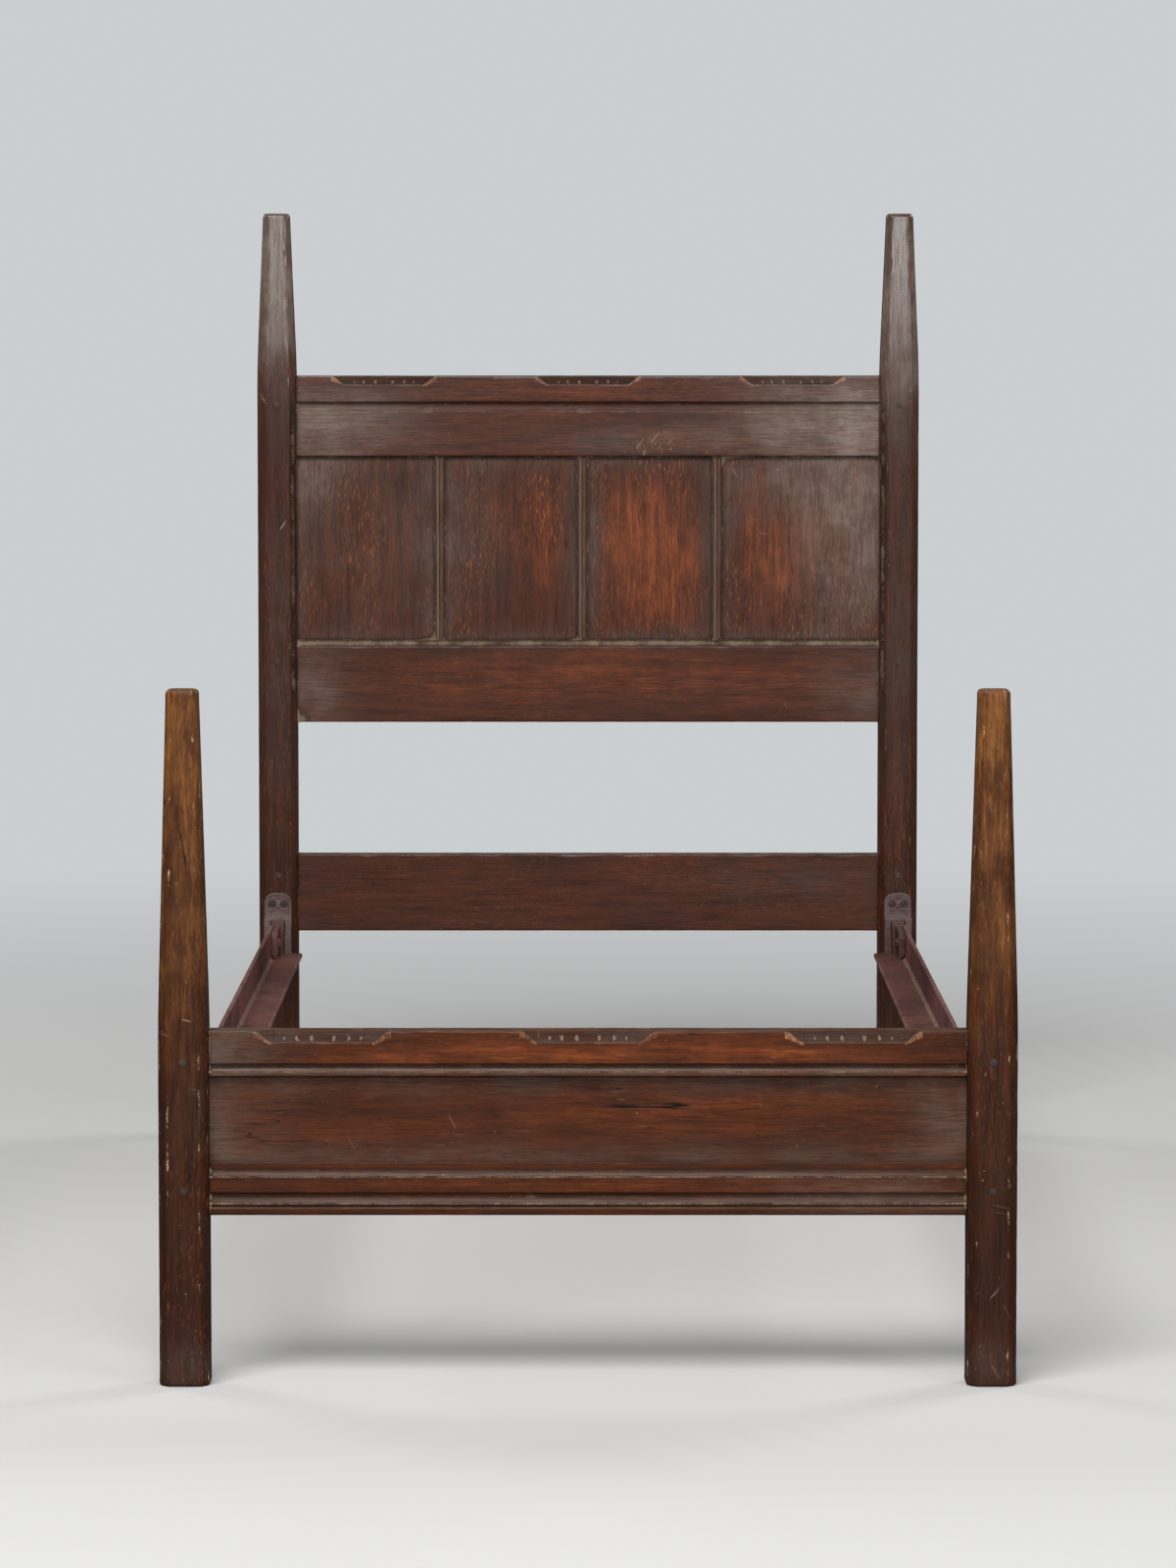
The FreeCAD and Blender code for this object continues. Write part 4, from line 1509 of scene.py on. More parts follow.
# ---------------------------------------------------------------- geometry nodes
def grown(
    name: str, mesh: Mesh, tree: Tree, values: dict[str, object]
) -> Piece:
    """Run a Geometry Nodes tree on a mesh and keep the result as a plain mesh.

    Args:
        name: Name of the piece.
        mesh: What the tree starts from.
        tree: The Geometry Nodes tree.
        values: Its named inputs.

    Returns:
        The finished object.
    """
    piece = bpy.data.objects.new(name, mesh)
    modifier = piece.modifiers.new("grow", "NODES")
    modifier.node_group = tree
    items = tree.interface.items_tree
    sockets = {item.name: item.identifier for item in items if item.in_out == "INPUT"}
    for key, value in values.items():
        modifier[sockets[key]] = value
    made_plain(linked(piece))
    return piece


class Growth(Nodes):
    """Short ways to build a Geometry Nodes tree; here a node's kind is given in full."""

    prefix = ""

    def __init__(self, name: str, inputs: dict[str, tuple[str, object]]) -> None:
        """Start a tree.

        Args:
            name: Name of the tree.
            inputs: Socket kind and default of each named input after the geometry.
        """
        super().__init__(bpy.data.node_groups.new(name, "GeometryNodeTree"))
        face = self.tree.interface
        face.new_socket("Geometry", in_out="INPUT", socket_type="NodeSocketGeometry")
        for key, (kind, default) in inputs.items():
            made = face.new_socket(key, in_out="INPUT", socket_type=f"NodeSocket{kind}")
            if default is not None:
                made.default_value = default
        face.new_socket("Geometry", in_out="OUTPUT", socket_type="NodeSocketGeometry")
        self.given = self.tree.nodes.new("NodeGroupInput").outputs
        self.leave = self.tree.nodes.new("NodeGroupOutput")

    def finish(self, geometry: Socket) -> Tree:
        """Realise the instances, set the material and end the tree.

        Args:
            geometry: What the tree has made.

        Returns:
            The tree.
        """
        real = self.add("GeometryNodeRealizeInstances", Geometry=geometry)
        material = self.given["Material"]
        dressed = self.add("GeometryNodeSetMaterial", Geometry=real.outputs[0], Material=material)
        self.feed(self.leave.inputs[0], dressed.outputs[0])
        return self.tree


def set_fasteners() -> Tree:
    """A tree that sets one shape on every point, facing the way that the point says.

    Returns:
        The tree.
    """
    inputs = {"Shape": ("Object", None), "Seed": ("Int", 0), "Material": ("Material", None)}
    g = Growth("set_fasteners", inputs)
    shape = g.add("GeometryNodeObjectInfo", Object=g.given["Shape"])
    facing = g.add("GeometryNodeInputNamedAttribute", {"data_type": "FLOAT_VECTOR"}, Name="facing")
    lined = g.add("FunctionNodeAlignRotationToVector", {"axis": "Z"}, Vector=facing.outputs[0])
    spin = g.add("FunctionNodeRandomValue", {"data_type": "FLOAT"}, Seed=g.given["Seed"])
    spin.inputs[3].default_value = math.tau
    turn = g.add("FunctionNodeAxisAngleToRotation", Axis=(0.0, 0.0, 1.0), Angle=spin.outputs[1])
    both = g.add("FunctionNodeRotateRotation", {"rotation_space": "LOCAL"}, Rotation=lined.outputs[0])
    g.feed(both.inputs[1], turn.outputs[0])
    points = g.add("GeometryNodeMeshToPoints", Mesh=g.given["Geometry"])
    placed = g.add(
        "GeometryNodeInstanceOnPoints", Points=points.outputs[0],
        Instance=shape.outputs["Geometry"], Rotation=both.outputs[0],
    )
    return g.finish(placed.outputs[0])


def drawn_bar() -> Tree:
    """A tree that draws a section out along Y into a long bar with a slight waver.

    Returns:
        The tree.
    """
    g = Growth(
        "drawn_bar",
        {
            "Start": ("Vector", (0.0, -1.0, 0.0)), "End": ("Vector", (0.0, 1.0, 0.0)), "Rings": ("Int", 320),
            "Waver": ("Float", 0.0004), "Seed": ("Int", 0), "Material": ("Material", None),
        },
    )
    profile = g.add("GeometryNodeMeshToCurve", Mesh=g.given["Geometry"])
    line = g.add("GeometryNodeCurvePrimitiveLine", Start=g.given["Start"], End=g.given["End"])
    path = g.add("GeometryNodeResampleCurve", Curve=line.outputs[0], Count=g.given["Rings"])
    level = g.add("GeometryNodeSetCurveNormal", {"mode": "Z_UP"}, Curve=path.outputs[0])
    bar = g.add(
        "GeometryNodeCurveToMesh", Curve=level.outputs[0], Profile_Curve=profile.outputs[0], Fill_Caps=True
    )
    place = g.add("GeometryNodeInputPosition")
    seed = g.given["Seed"]
    soft = g.add("ShaderNodeTexNoise", {"noise_dimensions": "4D"}, Vector=place.outputs[0], W=seed, Scale=9.0)
    centred = g.add("ShaderNodeVectorMath", {"operation": "SUBTRACT"})
    g.feed(centred.inputs[0], soft.outputs["Color"])
    centred.inputs[1].default_value = (0.5, 0.5, 0.5)
    sized = g.add("ShaderNodeVectorMath", {"operation": "SCALE"}, Scale=g.given["Waver"])
    g.feed(sized.inputs[0], centred.outputs[0])
    moved = g.add("GeometryNodeSetPosition", Geometry=bar.outputs[0], Offset=sized.outputs[0])
    return g.finish(moved.outputs[0])


def turned(name: str, profile: Profile, around: int = 24) -> Piece:
    """A round piece turned about Z, from (radius, height) pairs that start and end on the axis.

    Args:
        name: Name of the template.
        profile: Radius and height from the top down.
        around: Faces round it.

    Returns:
        The template, not linked to the scene.
    """
    shell = bmesh.new()
    rims, poles = [], []
    for radius, height in profile:
        if radius == 0:
            poles.append(shell.verts.new((0, 0, height)))
            continue
        angles = [math.tau * i / around for i in range(around)]
        circle = [(radius * math.cos(a), radius * math.sin(a), height) for a in angles]
        rims.append([shell.verts.new(place) for place in circle])
    for i in range(around):
        j = (i + 1) % around
        shell.faces.new((poles[0], rims[0][i], rims[0][j]))
        shell.faces.new((poles[1], rims[-1][j], rims[-1][i]))
        for upper, lower in zip(rims, rims[1:]):
            shell.faces.new((upper[i], lower[i], lower[j], upper[j]))
    bmesh.ops.recalc_face_normals(shell, faces=shell.faces)
    mesh = bpy.data.meshes.new(name)
    shell.to_mesh(mesh)
    shell.free()
    return bpy.data.objects.new(name, mesh)


def mark_rim(piece: Piece, start: float, end: float) -> None:
    """Store how near each corner of a template is to its rim, and blank values for paint.

    Args:
        piece: The template.
        start: Radius where the rim begins.
        end: Radius of full strength.
    """
    mesh = piece.data
    radii = np.array([math.hypot(v.co.x, v.co.y) for v in mesh.vertices])
    rim, blank = np.clip((radii - start) / (end - start), 0, 1), np.zeros(len(radii))
    store(mesh, {"rim": rim, "arris": rim * 0.4, "nook": blank, "rubbed": blank})
    shade(mesh, FIXING_SHARP)


@dataclass
class Fasteners:
    """A set of like fasteners, placed by one Geometry Nodes tree."""

    node: str
    body: Body
    slot: Slot
    finish: Material
    shape: Piece
    tree: Tree
    places: Sequence[tuple[float, float, float]]
    facing: Sequence[tuple[float, float, float]]
    seed: int

    def make(self) -> None:
        """Set the fasteners and hand them over."""
        mesh = bpy.data.meshes.new(f"{self.node}_places")
        mesh.from_pydata(list(self.places), [], [])
        store(mesh, {"facing": np.array(self.facing)})
        values = {"Shape": self.shape, "Seed": self.seed, "Material": self.finish}
        piece = grown(f"{self.node}_finished", mesh, self.tree, values)
        piece.data.set_sharp_from_angle(angle=math.radians(FIXING_SHARP))
        hand_over(piece, self.body, self.finish, self.node)


# ---------------------------------------------------------------- headboard
@dataclass
class Headboard:
    """The tall end: two posts, three rails, four panels, three muntins.

    Sections run round a rail from its top front arris, as (back from the face, drop, ease).
    """

    frame_oak: Material
    post_oak: Material
    panel_oak: Material
    half: float
    post_height: float = 1.310
    taper_start: float = 1.089
    post_top: float = 0.038
    top_section: Section = (
        (0.0, 0.0, 0.0016), (0.0, 0.037, 0.0010), (0.007, 0.037, 0.0004), (0.007, 0.040, 0.0004),
        (0.0025, 0.050, 0.0008), (0.0025, 0.114, 0.0014), *grooved_below(0.114, 0.034),
    )
    mid_section: Section = (
        (0.008, 0.0, 0.0008), (0.0, 0.0085, 0.0010), (0.0, 0.1165, 0.0016), *grooved_above(0.1165, 0.030),
    )
    low_section: Section = (
        (0.0, 0.0, 0.0014), (0.0, 0.110, 0.0018), (0.030, 0.110, 0.0018), (0.030, 0.0, 0.0014),
    )

    def make(self) -> None:
        """Build every oak piece of the headboard."""
        self.posts()
        self.rails()
        self.panels()

    def posts(self) -> None:
        """The two tall posts."""
        for side, name, _ in SIDES:
            x = side * POST_CENTRE
            wear = Wear(
                # The high film patch on each taper is painted sheen: the pale reflection of light on the
                # leaning face.
                film=(Patch(x, 1.20 - 0.03 * side, 0.05, 0.13, 0.88), Patch(x, 0.70, 0.05, 0.2, 0.08)),
                glow=(Patch(x, 0.45, 0.03, 0.18, 0.35), Patch(x, 0.85, 0.03, 0.12, 0.22)),
                scored=(Patch(x, 0.87, 0.03, 0.02, 0.45), Patch(x, 1.06, 0.03, 0.03, 0.3)),
            )
            OakPost(
                f"headboard_post_{name}", self.post_height, self.taper_start, self.post_top,
                self.post_oak, 11 + side, wear=wear, dusty_side=-side,
            ).make()

    def rails(self) -> None:
        """The carved top rail, the rail under the panels and the low rail."""
        top = Wear(
            glow=(Patch(0.0, 1.062, 0.26, 0.03, 0.55), Patch(-0.10, 1.01, 0.15, 0.04, 0.30)),
            film=(
                # The two strong patches at the ends of the fascia are painted sheen, the pale reflection of
                # the light.
                Patch(0.40, 1.01, 0.15, 0.06, 1.1), Patch(-0.38, 1.01, 0.12, 0.06, 0.65),
                Patch(0.12, 0.99, 0.16, 0.02, 0.30), Patch(0.33, 1.06, 0.10, 0.03, 0.25),
            ),
            scored=(Patch(0.085, 0.985, 0.050, 0.018, 1.25), Patch(-0.14, 1.03, 0.02, 0.01, 0.5)),
            dusty=(dust_line(1.0380, 0.0040, 0.22), dust_line(1.0317, 0.0010, 0.40)),
        )
        mid = Wear(
            glow=(
                Patch(0.02, 0.655, 0.24, 0.045, 0.80), Patch(-0.22, 0.63, 0.12, 0.03, 0.40),
                Patch(0.27, 0.64, 0.10, 0.04, 0.35),
            ),
            # The film at both ends is grey film with painted sheen, the reflection of the light.
            film=(Patch(-0.40, 0.63, 0.05, 0.06, 0.40), Patch(0.40, 0.64, 0.06, 0.05, 0.30)),
            dusty=(dust_line(0.7005, 0.0042, 0.85), Patch(-0.412, 0.592, 0.016, 0.012, 0.8)),
        )
        low = Wear(
            glow=(Patch(-0.08, 0.345, 0.25, 0.035, 0.34),), film=(Patch(0.3, 0.36, 0.15, 0.03, 0.1),),
        )
        oak, half = self.frame_oak, self.half
        OakRail("headboard_top_rail", self.top_section, oak, 23, half, hollowed=True, wear=top).make()
        OakRail("headboard_mid_rail", self.mid_section, oak, 31, half, wear=mid).make()
        OakRail("headboard_lower_rail", self.low_section, oak, 37, half, wear=low).make()

    def panels(self) -> None:
        """The four panels and the muntins between them."""
        low = span("headboard_mid_rail")[1][2]
        top = span("headboard_top_rail")[0][2]
        z = (low + top) / 2
        wears = (
            Wear(
                glow=(Patch(-0.29, 0.80, 0.07, 0.09, 0.35), Patch(-0.35, 0.90, 0.05, 0.04, 0.2)),
                film=(Patch(-0.40, 0.94, 0.05, 0.04, 0.45), Patch(-0.30, z, 0.14, 0.12, 0.12)),
            ),
            Wear(
                glow=(Patch(-0.06, z + 0.01, 0.05, 0.11, 0.75), Patch(-0.13, 0.88, 0.05, 0.06, 0.35)),
                film=(Patch(-0.18, z, 0.05, 0.12, 0.15),), scored=(Patch(-0.05, 0.93, 0.02, 0.02, 0.5),),
            ),
            Wear(
                glow=(Patch(0.07, z, 0.09, 0.13, 1.0), Patch(0.12, 0.80, 0.06, 0.10, 0.6)),
                film=(Patch(0.0, z, 0.02, 0.12, 0.10),), scored=(Patch(0.10, 0.94, 0.02, 0.015, 0.6),),
            ),
            Wear(
                glow=(Patch(0.245, z - 0.01, 0.045, 0.11, 0.75), Patch(0.31, 0.84, 0.08, 0.10, 0.55)),
                # The large film patch on the right of this panel is painted sheen, a reflection of the light.
                film=(Patch(0.37, z + 0.03, 0.07, 0.14, 0.55), Patch(0.31, 0.93, 0.12, 0.05, 0.35)),
                scored=(Patch(0.215, 0.945, 0.025, 0.02, 0.9), Patch(0.37, 0.76, 0.015, 0.02, 0.5)),
            ),
        )
        for number, wear in enumerate(wears, 1):
            OakPanel(f"headboard_panel_{number}", Along.Z, self.panel_oak, 40 + number, wear).make()
        for number in range(1, len(wears)):
            Muntin(f"headboard_muntin_{number}", self.frame_oak, 50 + number, low, top).make()


# ---------------------------------------------------------------- footboard
@dataclass
class Footboard:
    """The low end: two posts, two rails and one long panel."""

    rail_oak: Material
    post_oak: Material
    panel_oak: Material
    half: float
    post_height: float = 0.764
    taper_start: float = 0.399
    post_top: float = 0.036
    top_section: Section = (
        (0.0, 0.0, 0.0016), (0.0, 0.036, 0.0010), (0.007, 0.036, 0.0004), (0.007, 0.039, 0.0004),
        (0.0025, 0.046, 0.0008), (0.0025, 0.050, 0.0008), *grooved_below(0.050, 0.034),
    )
    moulding: Profile = (
        (0.008, 0.0), (0.008, 0.008), (0.003, 0.016), (0.003, 0.032), (0.006, 0.034), (0.006, 0.037),
        (0.001, 0.045), (0.001, 0.046), (0.003, 0.0465), (0.003, 0.048), (0.0, 0.0495), (0.0, 0.053),
        (0.001, 0.057),
    )
    moulding_ease: float = 0.0004

    def make(self) -> None:
        """Build every oak piece of the footboard."""
        self.posts()
        self.rails()
        wear = Wear(
            glow=(
                Patch(0.05, 0.295, 0.22, 0.03, 0.55), Patch(-0.25, 0.27, 0.12, 0.02, 0.45),
                Patch(0.22, 0.32, 0.14, 0.014, 0.4),
            ),
            film=(Patch(-0.40, 0.29, 0.05, 0.05, 0.15), Patch(0.40, 0.29, 0.05, 0.05, 0.18)),
            scored=(Patch(-0.28, 0.262, 0.04, 0.012, 0.35),),
        )
        OakPanel("footboard_panel", Along.X, self.panel_oak, 71, wear, dusty=0.8).make()

    def posts(self) -> None:
        """The two short posts, the most worn pieces of the bed."""
        for side, name, _ in SIDES:
            x = side * POST_CENTRE
            wear = Wear(
                glow=(
                    Patch(x, 0.74, 0.05, 0.22, 1.0), Patch(x, 0.45, 0.05, 0.14, 0.50),
                    Patch(x, 0.22, 0.05, 0.10, 0.20),
                ),
                film=(Patch(x, 0.02, 0.05, 0.03, 0.10),),
                scored=(
                    Patch(x, 0.38, 0.20, 0.50, 0.18), Patch(x, 0.38, 0.04, 0.05, 0.1),
                    Patch(x, 0.03, 0.05, 0.04, 0.12),
                ),
            )
            OakPost(
                f"footboard_post_{name}", self.post_height, self.taper_start, self.post_top,
                self.post_oak, 17 + side, wear=wear, chip=0.0020, unevenness=0.0005,
            ).make()

    def rails(self) -> None:
        """The carved top rail and the moulded bottom rail."""
        top = Wear(
            glow=(
                Patch(0.0, 0.37, 0.20, 0.02, 0.75), Patch(-0.20, 0.36, 0.10, 0.014, 0.55),
                Patch(0.20, 0.365, 0.12, 0.018, 0.6), Patch(0.36, 0.36, 0.06, 0.02, 0.4),
            ),
            film=(Patch(-0.40, 0.37, 0.05, 0.03, 0.3), dust_line(0.348, 0.005, 0.35)),
            # The thin line at 0.3457 on the bead is pale dust and in part a painted highlight.
            dusty=(dust_line(0.3500, 0.0026, 0.20), dust_line(0.3457, 0.0010, 0.72)),
            scored=(Patch(0.20, 0.362, 0.012, 0.02, 0.7), Patch(-0.05, 0.35, 0.02, 0.01, 0.5)),
        )
        bottom = Wear(
            glow=(Patch(0.0, 0.221, 0.35, 0.010, 0.65),),
            film=(Patch(0.3, 0.21, 0.1, 0.02, 0.2),),
            dusty=(
                # The thin lines at 0.2298 and 0.2008 lie on the lower arrises of the ledges: pale dust, and
                # in part painted highlight along each arris.
                dust_line(0.2345, 0.0028, 0.20), dust_line(0.2298, 0.0010, 0.78),
                dust_line(0.2055, 0.0026, 0.20), dust_line(0.2008, 0.0010, 0.70),
            ),
        )
        OakRail(
            "footboard_top_rail", self.top_section, self.rail_oak, 61, self.half,
            hollowed=True, bloom=0.22, wear=top,
        ).make()
        section = [(back, drop, self.moulding_ease) for back, drop in self.moulding]
        section += grooved_above(0.057, 0.034)
        OakRail("footboard_bottom_rail", section, self.rail_oak, 67, self.half, wear=bottom).make()


# ---------------------------------------------------------------- ironwork
@dataclass
class Ironwork:
    """Sockets, lugs, angle irons and everything that fastens them."""

    socket_paint: Material
    iron_paint: Material
    lug_paint: Material
    steel: Material
    peg_oak: Material
    plate: float = 0.005
    top_screw: tuple[float, float] = (0.008, 0.017)
    bottom_screw: tuple[float, float] = (0.009, 0.014)
    peg_drop: float = 0.022
    leg: float = 0.045
    thickness: float = 0.0045
    root: float = 0.005
    toe: float = 0.0025
    heel: float = 0.0008
    tongue: float = 0.009
    rivet_inset: float = 0.055
    rivet_rise: float = 0.025
    rivet_shank: float = 0.005
    rivet_head: tuple[float, float] = (0.010, 0.0065)
    rivet_tail: tuple[float, float] = (0.008, 0.004)
    screw_profile: Profile = (
        (0, 0.00015), (0.003, 0.0001), (0.0046, -0.0001), (0.0049, -0.0004), (0.0026, -0.0031),
        (0.0025, -0.012), (0, -0.013),
    )
    peg_profile: Profile = (
        (0, 0.0), (0.0030, -0.00002), (0.0040, -0.00006), (0.00445, -0.0002), (0.0045, -0.0006),
        (0.0045, -0.043), (0, -0.0435),
    )
    fixings: Tree = field(default_factory=set_fasteners)

    def make(self) -> None:
        """Build all of the ironwork and the pegs."""
        self.castings()
        self.screws()
        self.pegs()
        self.irons()
        self.rivets()

    def castings(self) -> None:
        """Four sockets on the posts and four lugs on the irons."""
        for row, board in enumerate(("headboard", "footboard")):
            for column, (_, side, _) in enumerate(SIDES):
                name = f"{board}_socket_{side}"
                seed = 80 + 2 * row + column
                Casting(name, Body.ENDS, Slot.SOCKET, self.socket_paint, seed=seed).make()
        for row, (_, side, body) in enumerate(SIDES):
            for column, end in enumerate(("head", "foot")):
                name = f"{side}_iron_{end}_lug"
                Casting(name, body, Slot.LUG, self.lug_paint, seed=90 + 2 * row + column).make()

    def screw_shape(self) -> Piece:
        """A countersunk slotted screw, standing on Z with its head at the origin.

        Returns:
            The template, not linked to the scene.
        """
        screw = linked(turned("screw_shape", self.screw_profile))
        cutter_mesh = bpy.data.meshes.new("screw_slot")
        shell = bmesh.new()
        bmesh.ops.create_cube(shell, size=1.0)
        bmesh.ops.scale(shell, verts=shell.verts, vec=(0.012, 0.0012, 0.0024))
        shell.to_mesh(cutter_mesh)
        shell.free()
        cutter = linked(bpy.data.objects.new("screw_slot", cutter_mesh))
        cut = screw.modifiers.new("slot", "BOOLEAN")
        cut.operation = "DIFFERENCE"
        cut.solver = "EXACT"
        cut.object = cutter
        made_plain(screw)
        bpy.data.objects.remove(cutter)
        bpy.context.scene.collection.objects.unlink(screw)
        mark_rim(screw, 0.0042, 0.0049)
        return screw

    def screws(self) -> None:
        """Four screws in each socket."""
        shape = self.screw_shape()
        for number, board in enumerate(("headboard", "footboard")):
            places, facing = [], []
            outward = -1.0 if board == "headboard" else 1.0
            for _, side, _ in SIDES:
                low, high = span(f"{board}_socket_{side}")
                x = (low[0] + high[0]) / 2
                y = (high[1] - self.plate) if board == "headboard" else (low[1] + self.plate)
                top = (self.top_screw[0], high[2] - self.top_screw[1])
                bottom = (self.bottom_screw[0], low[2] + self.bottom_screw[1])
                for spread, z in (top, bottom):
                    for way in (-1, 1):
                        places.append((x + way * spread, y, z))
                        facing.append((0.0, outward, 0.0))
            Fasteners(
                f"{board}_socket_screws", Body.ENDS, Slot.SCREW, self.steel, shape, self.fixings,
                places, facing, 5 + number,
            ).make()

    def pegs(self) -> None:
        """The pegs that hold the tenons, flush with the faces of the posts."""
        shape = turned("peg_shape", self.peg_profile, 28)
        mark_rim(shape, 0.0034, 0.0045)
        shoulders = {
            "headboard": {"top": 0.020, "mid": 0.008, "lower": 0.008},
            "footboard": {"top": 0.012, "bottom": 0.008},
        }
        for number, (board, rails) in enumerate(shoulders.items()):
            places = []
            for _, side, _ in SIDES:
                low, high = span(f"{board}_post_{side}")
                for rail, shoulder in rails.items():
                    z = span(f"{board}_{rail}_rail")[1][2] - shoulder - self.peg_drop
                    places.append(((low[0] + high[0]) / 2, low[1], z))
            Fasteners(
                f"{board}_pegs", Body.ENDS, Slot.PEG, self.peg_oak, shape, self.fixings,
                places, [(0.0, -1.0, 0.0)] * len(places), 15 + number,
            ).make()

    def irons(self) -> None:
        """The two angle irons."""
        tree = drawn_bar()
        for number, (side, name, body) in enumerate(SIDES):
            node = f"{name}_side_iron"
            low, high = span(node)
            outer = high[0] if side > 0 else low[0]
            mesh = self.angle_section(outer, side, low[2])
            values = {
                "Start": (0.0, low[1] + 0.0002, 0.0), "End": (0.0, high[1] - 0.0002, 0.0),
                "Seed": 31 + number, "Material": self.iron_paint,
            }
            piece = grown(f"{node}_finished", mesh, tree, values)
            self.rub(piece.data, low[2])
            shade(piece.data, BOARD_SHARP)
            hand_over(piece, body, self.iron_paint, node)

    def angle_section(self, outer: float, side: int, base: float) -> Mesh:
        """The angle's section as a loop of edges, in the plane that the bar is drawn from.

        Args:
            outer: X of the upright leg's outer face.
            side: -1 for the left iron, 1 for the right.
            base: Height of the underside of the ledge.

        Returns:
            A mesh of edges only, with the arris and nook values on its points.
        """
        t, leg = self.thickness, self.leg
        points: list[tuple[float, float]] = []

        def straight(start: tuple[float, float], end: tuple[float, float], count: int) -> None:
            """Points along a straight run, without its end.

            Args:
                start: Where it starts.
                end: Where it ends.
                count: How many points.
            """
            for i in range(count):
                share = i / count
                points.append(tuple(a + share * (b - a) for a, b in zip(start, end)))

        def rounded(middle: tuple[float, float], radius: float, first: float, last: float) -> None:
            """Points round a corner, without its end.

            Args:
                middle: Middle of the curve.
                radius: Its radius.
                first: Angle it starts from, in degrees.
                last: Angle it ends at.
            """
            for i in range(5):
                angle = math.radians(first + (last - first) * i / 5)
                points.append((middle[0] + radius * math.cos(angle), middle[1] + radius * math.sin(angle)))

        heel = self.heel
        straight((0.0, heel), (0.0, leg), 12)
        straight((0.0, leg), (t - self.toe, leg), 2)
        rounded((t - self.toe, leg - self.toe), self.toe, 90, 0)
        straight((t, leg - self.toe), (t, t + self.root), 9)
        rounded((t + self.root, t + self.root), self.root, 180, 270)
        straight((t + self.root, t), (leg - self.toe, t), 9)
        rounded((leg - self.toe, t - self.toe), self.toe, 90, 0)
        straight((leg, t - self.toe), (leg, 0.0), 2)
        straight((leg, 0.0), (heel, 0.0), 12)
        count = len(points)
        mesh = bpy.data.meshes.new("angle_section")
        corners = [(outer - side * inward, -(base + rise), 0.0) for inward, rise in points]
        mesh.from_pydata(corners, [(i, (i + 1) % count) for i in range(count)], [])
        ends = np.array([(0.0, 0.0), (0.0, leg), (t, leg), (leg, 0.0), (leg, t)])
        flat = np.array(points)
        away = np.linalg.norm(flat[:, None] - ends[None], axis=-1).min(axis=1)
        hollow = np.linalg.norm(flat - np.array([t + 0.0015, t + 0.0015]), axis=-1)
        arris = np.exp(-((away / 0.0035) ** 2))
        store(mesh, {"arris": arris, "nook": 0.8 * np.exp(-((hollow / 0.006) ** 2))})
        return mesh

    def rub(self, mesh: Mesh, base: float) -> None:
        """Mark the round places where the paint has been rubbed bright.

        Args:
            mesh: The iron's mesh, changed in place.
            base: Height of the underside of the ledge.
        """
        points = places_of(mesh)
        rubbed = np.zeros(len(points))
        for y in (-0.84, -0.33, 0.18, 0.80):
            spot = np.hypot(points[:, 1] - y, (points[:, 2] - base - 0.022) * 1.1)
            rubbed = np.maximum(rubbed, 1 - ease_step((spot - 0.012) / 0.014))
        store(mesh, {"rubbed": 0.85 * rubbed})

    def rivets(self) -> None:
        """One rivet through each lug, its head outside."""
        grip = self.thickness + self.tongue
        (wide, tall), (tail_wide, tail_tall) = self.rivet_head, self.rivet_tail
        head = [(wide * math.sin(a), tall * math.cos(a)) for a in np.linspace(0.25, 1.45, 6)]
        tail = [(tail_wide * math.sin(a), -grip - tail_tall * math.cos(a)) for a in np.linspace(1.5, 0.3, 5)]
        shank = [(wide, 0.0), (self.rivet_shank, 0.0), (self.rivet_shank, -grip), (tail_wide, -grip)]
        shape = turned("rivet_shape", [(0, tall), *head, *shank, *tail, (0, -grip - tail_tall)], 26)
        for vertex in shape.data.vertices:
            wobble = 0.93 + 0.07 * math.sin(3.1 * math.atan2(vertex.co.y, vertex.co.x) + 400 * vertex.co.z)
            vertex.co.x *= wobble
            vertex.co.y *= wobble
        mark_rim(shape, 0.0070, 0.0098)
        for number, (side, name, body) in enumerate(SIDES):
            low, high = span(f"{name}_side_iron")
            x = high[0] if side > 0 else low[0]
            z = low[2] + self.rivet_rise
            places = [(x, y, z) for y in (low[1] + self.rivet_inset, high[1] - self.rivet_inset)]
            Fasteners(
                f"{name}_iron_rivets", body, Slot.IRON, self.iron_paint, shape, self.fixings,
                places, [(float(side), 0.0, 0.0)] * 2, 25 + number,
            ).make()


# ---------------------------------------------------------------- studio
def aimed(place: tuple, aim: tuple) -> Euler:
    """The turn that points a light or a camera at its aim."""
    return (Vector(aim) - Vector(place)).to_track_quat("-Z", "Y").to_euler()


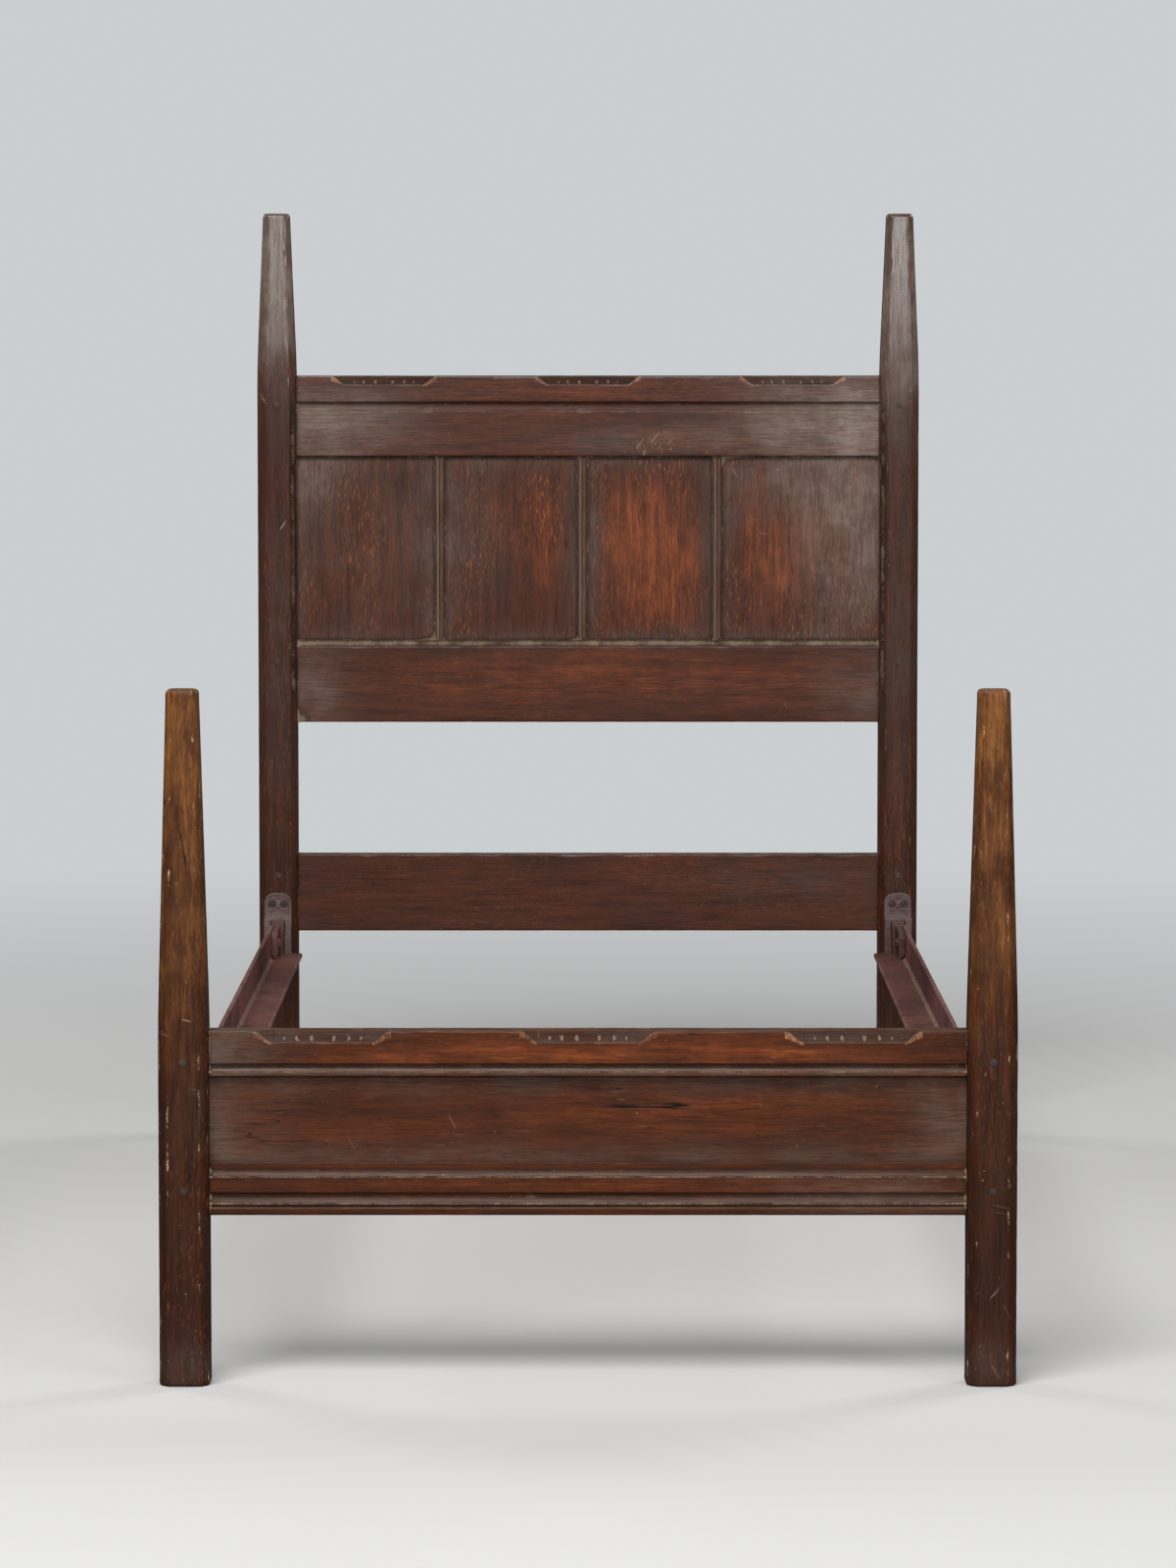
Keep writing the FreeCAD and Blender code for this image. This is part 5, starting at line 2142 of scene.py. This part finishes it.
@dataclass
class Studio:
    """A plain pale floor, soft lights and the camera."""

    backdrop: Colour = (0.60, 0.62, 0.635)
    ambient: float = 0.22
    gloss_seen: float = 0.06
    floor_colour: Colour = (0.60, 0.595, 0.585)
    floor_radius: float = 400.0
    floor_fade: tuple[float, float] = (1.6, 5.4)
    camera_place: tuple[float, float, float] = (0.0, -7.55, 1.18)
    camera_aim: tuple[float, float, float] = (0.0, -0.45, 0.615)
    lens: float = 138.0

    def make(self) -> None:
        """Set up the floor, the world, the lights and the camera."""
        bpy.context.scene.view_settings.view_transform = "Standard"
        self.world()
        self.floor()
        self.light("key_light", (-1.2, -4.4, 4.6), (0.0, -0.2, 0.5), (3.4, 2.2), 330.0)
        self.light("fill_light", (3.4, -4.6, 2.4), (0.0, -0.2, 0.6), (2.0, 2.0), 55.0)
        self.light("front_light", (0.7, -8.4, 2.7), (0.0, 0.8, 1.0), (3.8, 1.5), 150.0)
        self.light("left_back_light", (-4.4, 3.4, 3.0), (0.0, 0.0, 0.6), (2.0, 2.0), 90.0)
        self.light("right_back_light", (4.4, 3.0, 3.4), (0.0, 0.0, 0.6), (2.0, 2.0), 110.0)
        self.camera()

    def world(self) -> None:
        """A pale backdrop that lights the bed only softly."""
        world = bpy.data.worlds.new("studio")
        world.use_nodes = True
        world.node_tree.nodes.clear()
        n = Nodes(world.node_tree)
        seen = n.add("Background", Color=self.backdrop, Strength=1.0)
        path = n.add("LightPath")
        strength = n.blend(path.outputs["Is Glossy Ray"], (self.ambient,) * 3, (self.gloss_seen,) * 3)
        soft = n.add("Background", Color=(0.95, 0.97, 1.0))
        n.feed(soft.inputs["Strength"], strength)
        mix = n.add("MixShader")
        n.feed(mix.inputs[0], path.outputs["Is Camera Ray"])
        n.feed(mix.inputs[1], soft.outputs[0])
        n.feed(mix.inputs[2], seen.outputs[0])
        n.feed(n.add("OutputWorld").inputs["Surface"], mix.outputs[0])
        bpy.context.scene.world = world

    def floor(self) -> None:
        """A wide pale floor that melts into the backdrop."""
        mesh = bpy.data.meshes.new("studio_floor")
        shell = bmesh.new()
        bmesh.ops.create_circle(shell, cap_ends=True, radius=self.floor_radius, segments=96)
        shell.to_mesh(mesh)
        shell.free()
        material = bpy.data.materials.new("studio_floor")
        material.use_nodes = True
        material.node_tree.nodes.clear()
        n = Nodes(material.node_tree)
        plain = n.add("BsdfPrincipled", Base_Color=self.floor_colour, Roughness=0.7)
        far = n.add("Emission", Color=self.backdrop, Strength=1.0)
        dim = n.add("Emission", Color=(0.9, 0.88, 0.86), Strength=self.gloss_seen)
        path = n.add("LightPath")
        distance = n.add("VectorMath", {"operation": "LENGTH"})
        n.feed(distance.inputs[0], n.place())
        share = n.remap(distance.outputs["Value"], *self.floor_fade)
        share = n.times(share, path.outputs["Is Camera Ray"])
        near = n.add("MixShader")
        for place, value in enumerate((path.outputs["Is Glossy Ray"], plain.outputs[0], dim.outputs[0])):
            n.feed(near.inputs[place], value)
        mix = n.add("MixShader")
        for place, value in enumerate((share, near.outputs[0], far.outputs[0])):
            n.feed(mix.inputs[place], value)
        n.feed(n.add("OutputMaterial").inputs["Surface"], mix.outputs[0])
        mesh.materials.append(material)
        linked(bpy.data.objects.new("studio_floor", mesh))

    def light(self, name: str, place: tuple, aim: tuple, size: tuple[float, float], power: float) -> None:
        """Hang one soft rectangular light.

        Args:
            name: Name of the light.
            place: Where it hangs.
            aim: What it points at.
            size: Width and height.
            power: Its power in watts.
        """
        data = bpy.data.lights.new(name, "AREA")
        data.shape = "RECTANGLE"
        data.size, data.size_y = size
        data.energy = power
        lamp = bpy.data.objects.new(name, data)
        lamp.location = place
        lamp.rotation_euler = aimed(place, aim)
        linked(lamp)

    def camera(self) -> None:
        """The camera, square on to the foot of the bed at chest height."""
        data = bpy.data.cameras.new("camera")
        data.lens = self.lens
        data.sensor_width = 36.0
        data.clip_end = 500.0
        camera = bpy.data.objects.new("camera", data)
        camera.location = self.camera_place
        camera.rotation_euler = aimed(self.camera_place, self.camera_aim)
        bpy.context.scene.camera = linked(camera)


# ---------------------------------------------------------------- the whole bed
def main() -> None:
    """Build and dress the bed."""
    logging.basicConfig(level=logging.INFO, format="%(name)s: %(message)s")
    frame_oak = OakFinish("oak_frame_polished").material()
    tall_oak = OakFinish(
        "oak_tall_post_polished", shade="26120a", heart="4d2512", polish=1.0, coat_rough=0.12,
        gloss=0.30, arris_wear=0.6,
    ).material()
    rail_oak = OakFinish(
        "oak_foot_rail_polished", heart="54280f", polish=0.14, specular=0.12, lying_dust=0.40,
    ).material()
    panel_oak = OakFinish(
        "oak_panel_quartered", heart="562812", fleck="8c5024", fleck_share=0.7, wander=0.03, arris_wear=0.3,
    ).material()
    long_panel_oak = OakFinish(
        "oak_foot_panel", heart="52270f", fleck_share=0.22, wander=0.03, arris_wear=0.3,
        polish=0.16, specular=0.13, scratch_share=0.5,
    ).material()
    post_oak = OakFinish(
        "oak_foot_post_worn", shade="20100a", heart="46200d", glow="74461c", bright="8c5c2c",
        worn="aa8a70", arris_wear=1.0, polish=0.08, specular=0.13, gloss=0.42, lying_dust=0.3,
        scratch_share=0.45,
    ).material()
    socket_paint = PaintedIron(
        "socket_old_paint", paint="4a2a26", deep="2a1815", rubbed="5a2c26", bloom="75645e",
        gloss=0.48, dust_share=0.8,
    ).material()
    iron_paint = PaintedIron("iron_maroon_paint").material()
    lug_paint = PaintedIron(
        "lug_old_paint", paint="3d1e1c", deep="241211", bloom_share=0.3, gloss=0.5,
    ).material()
    half = span("headboard_post_right")[0][0]
    Headboard(frame_oak, tall_oak, panel_oak, half).make()
    Footboard(rail_oak, post_oak, long_panel_oak, half).make()
    Ironwork(socket_paint, iron_paint, lug_paint, OldSteel().material(), PegFinish().material()).make()
    Studio().make()


if __name__ == "__main__":
    main()
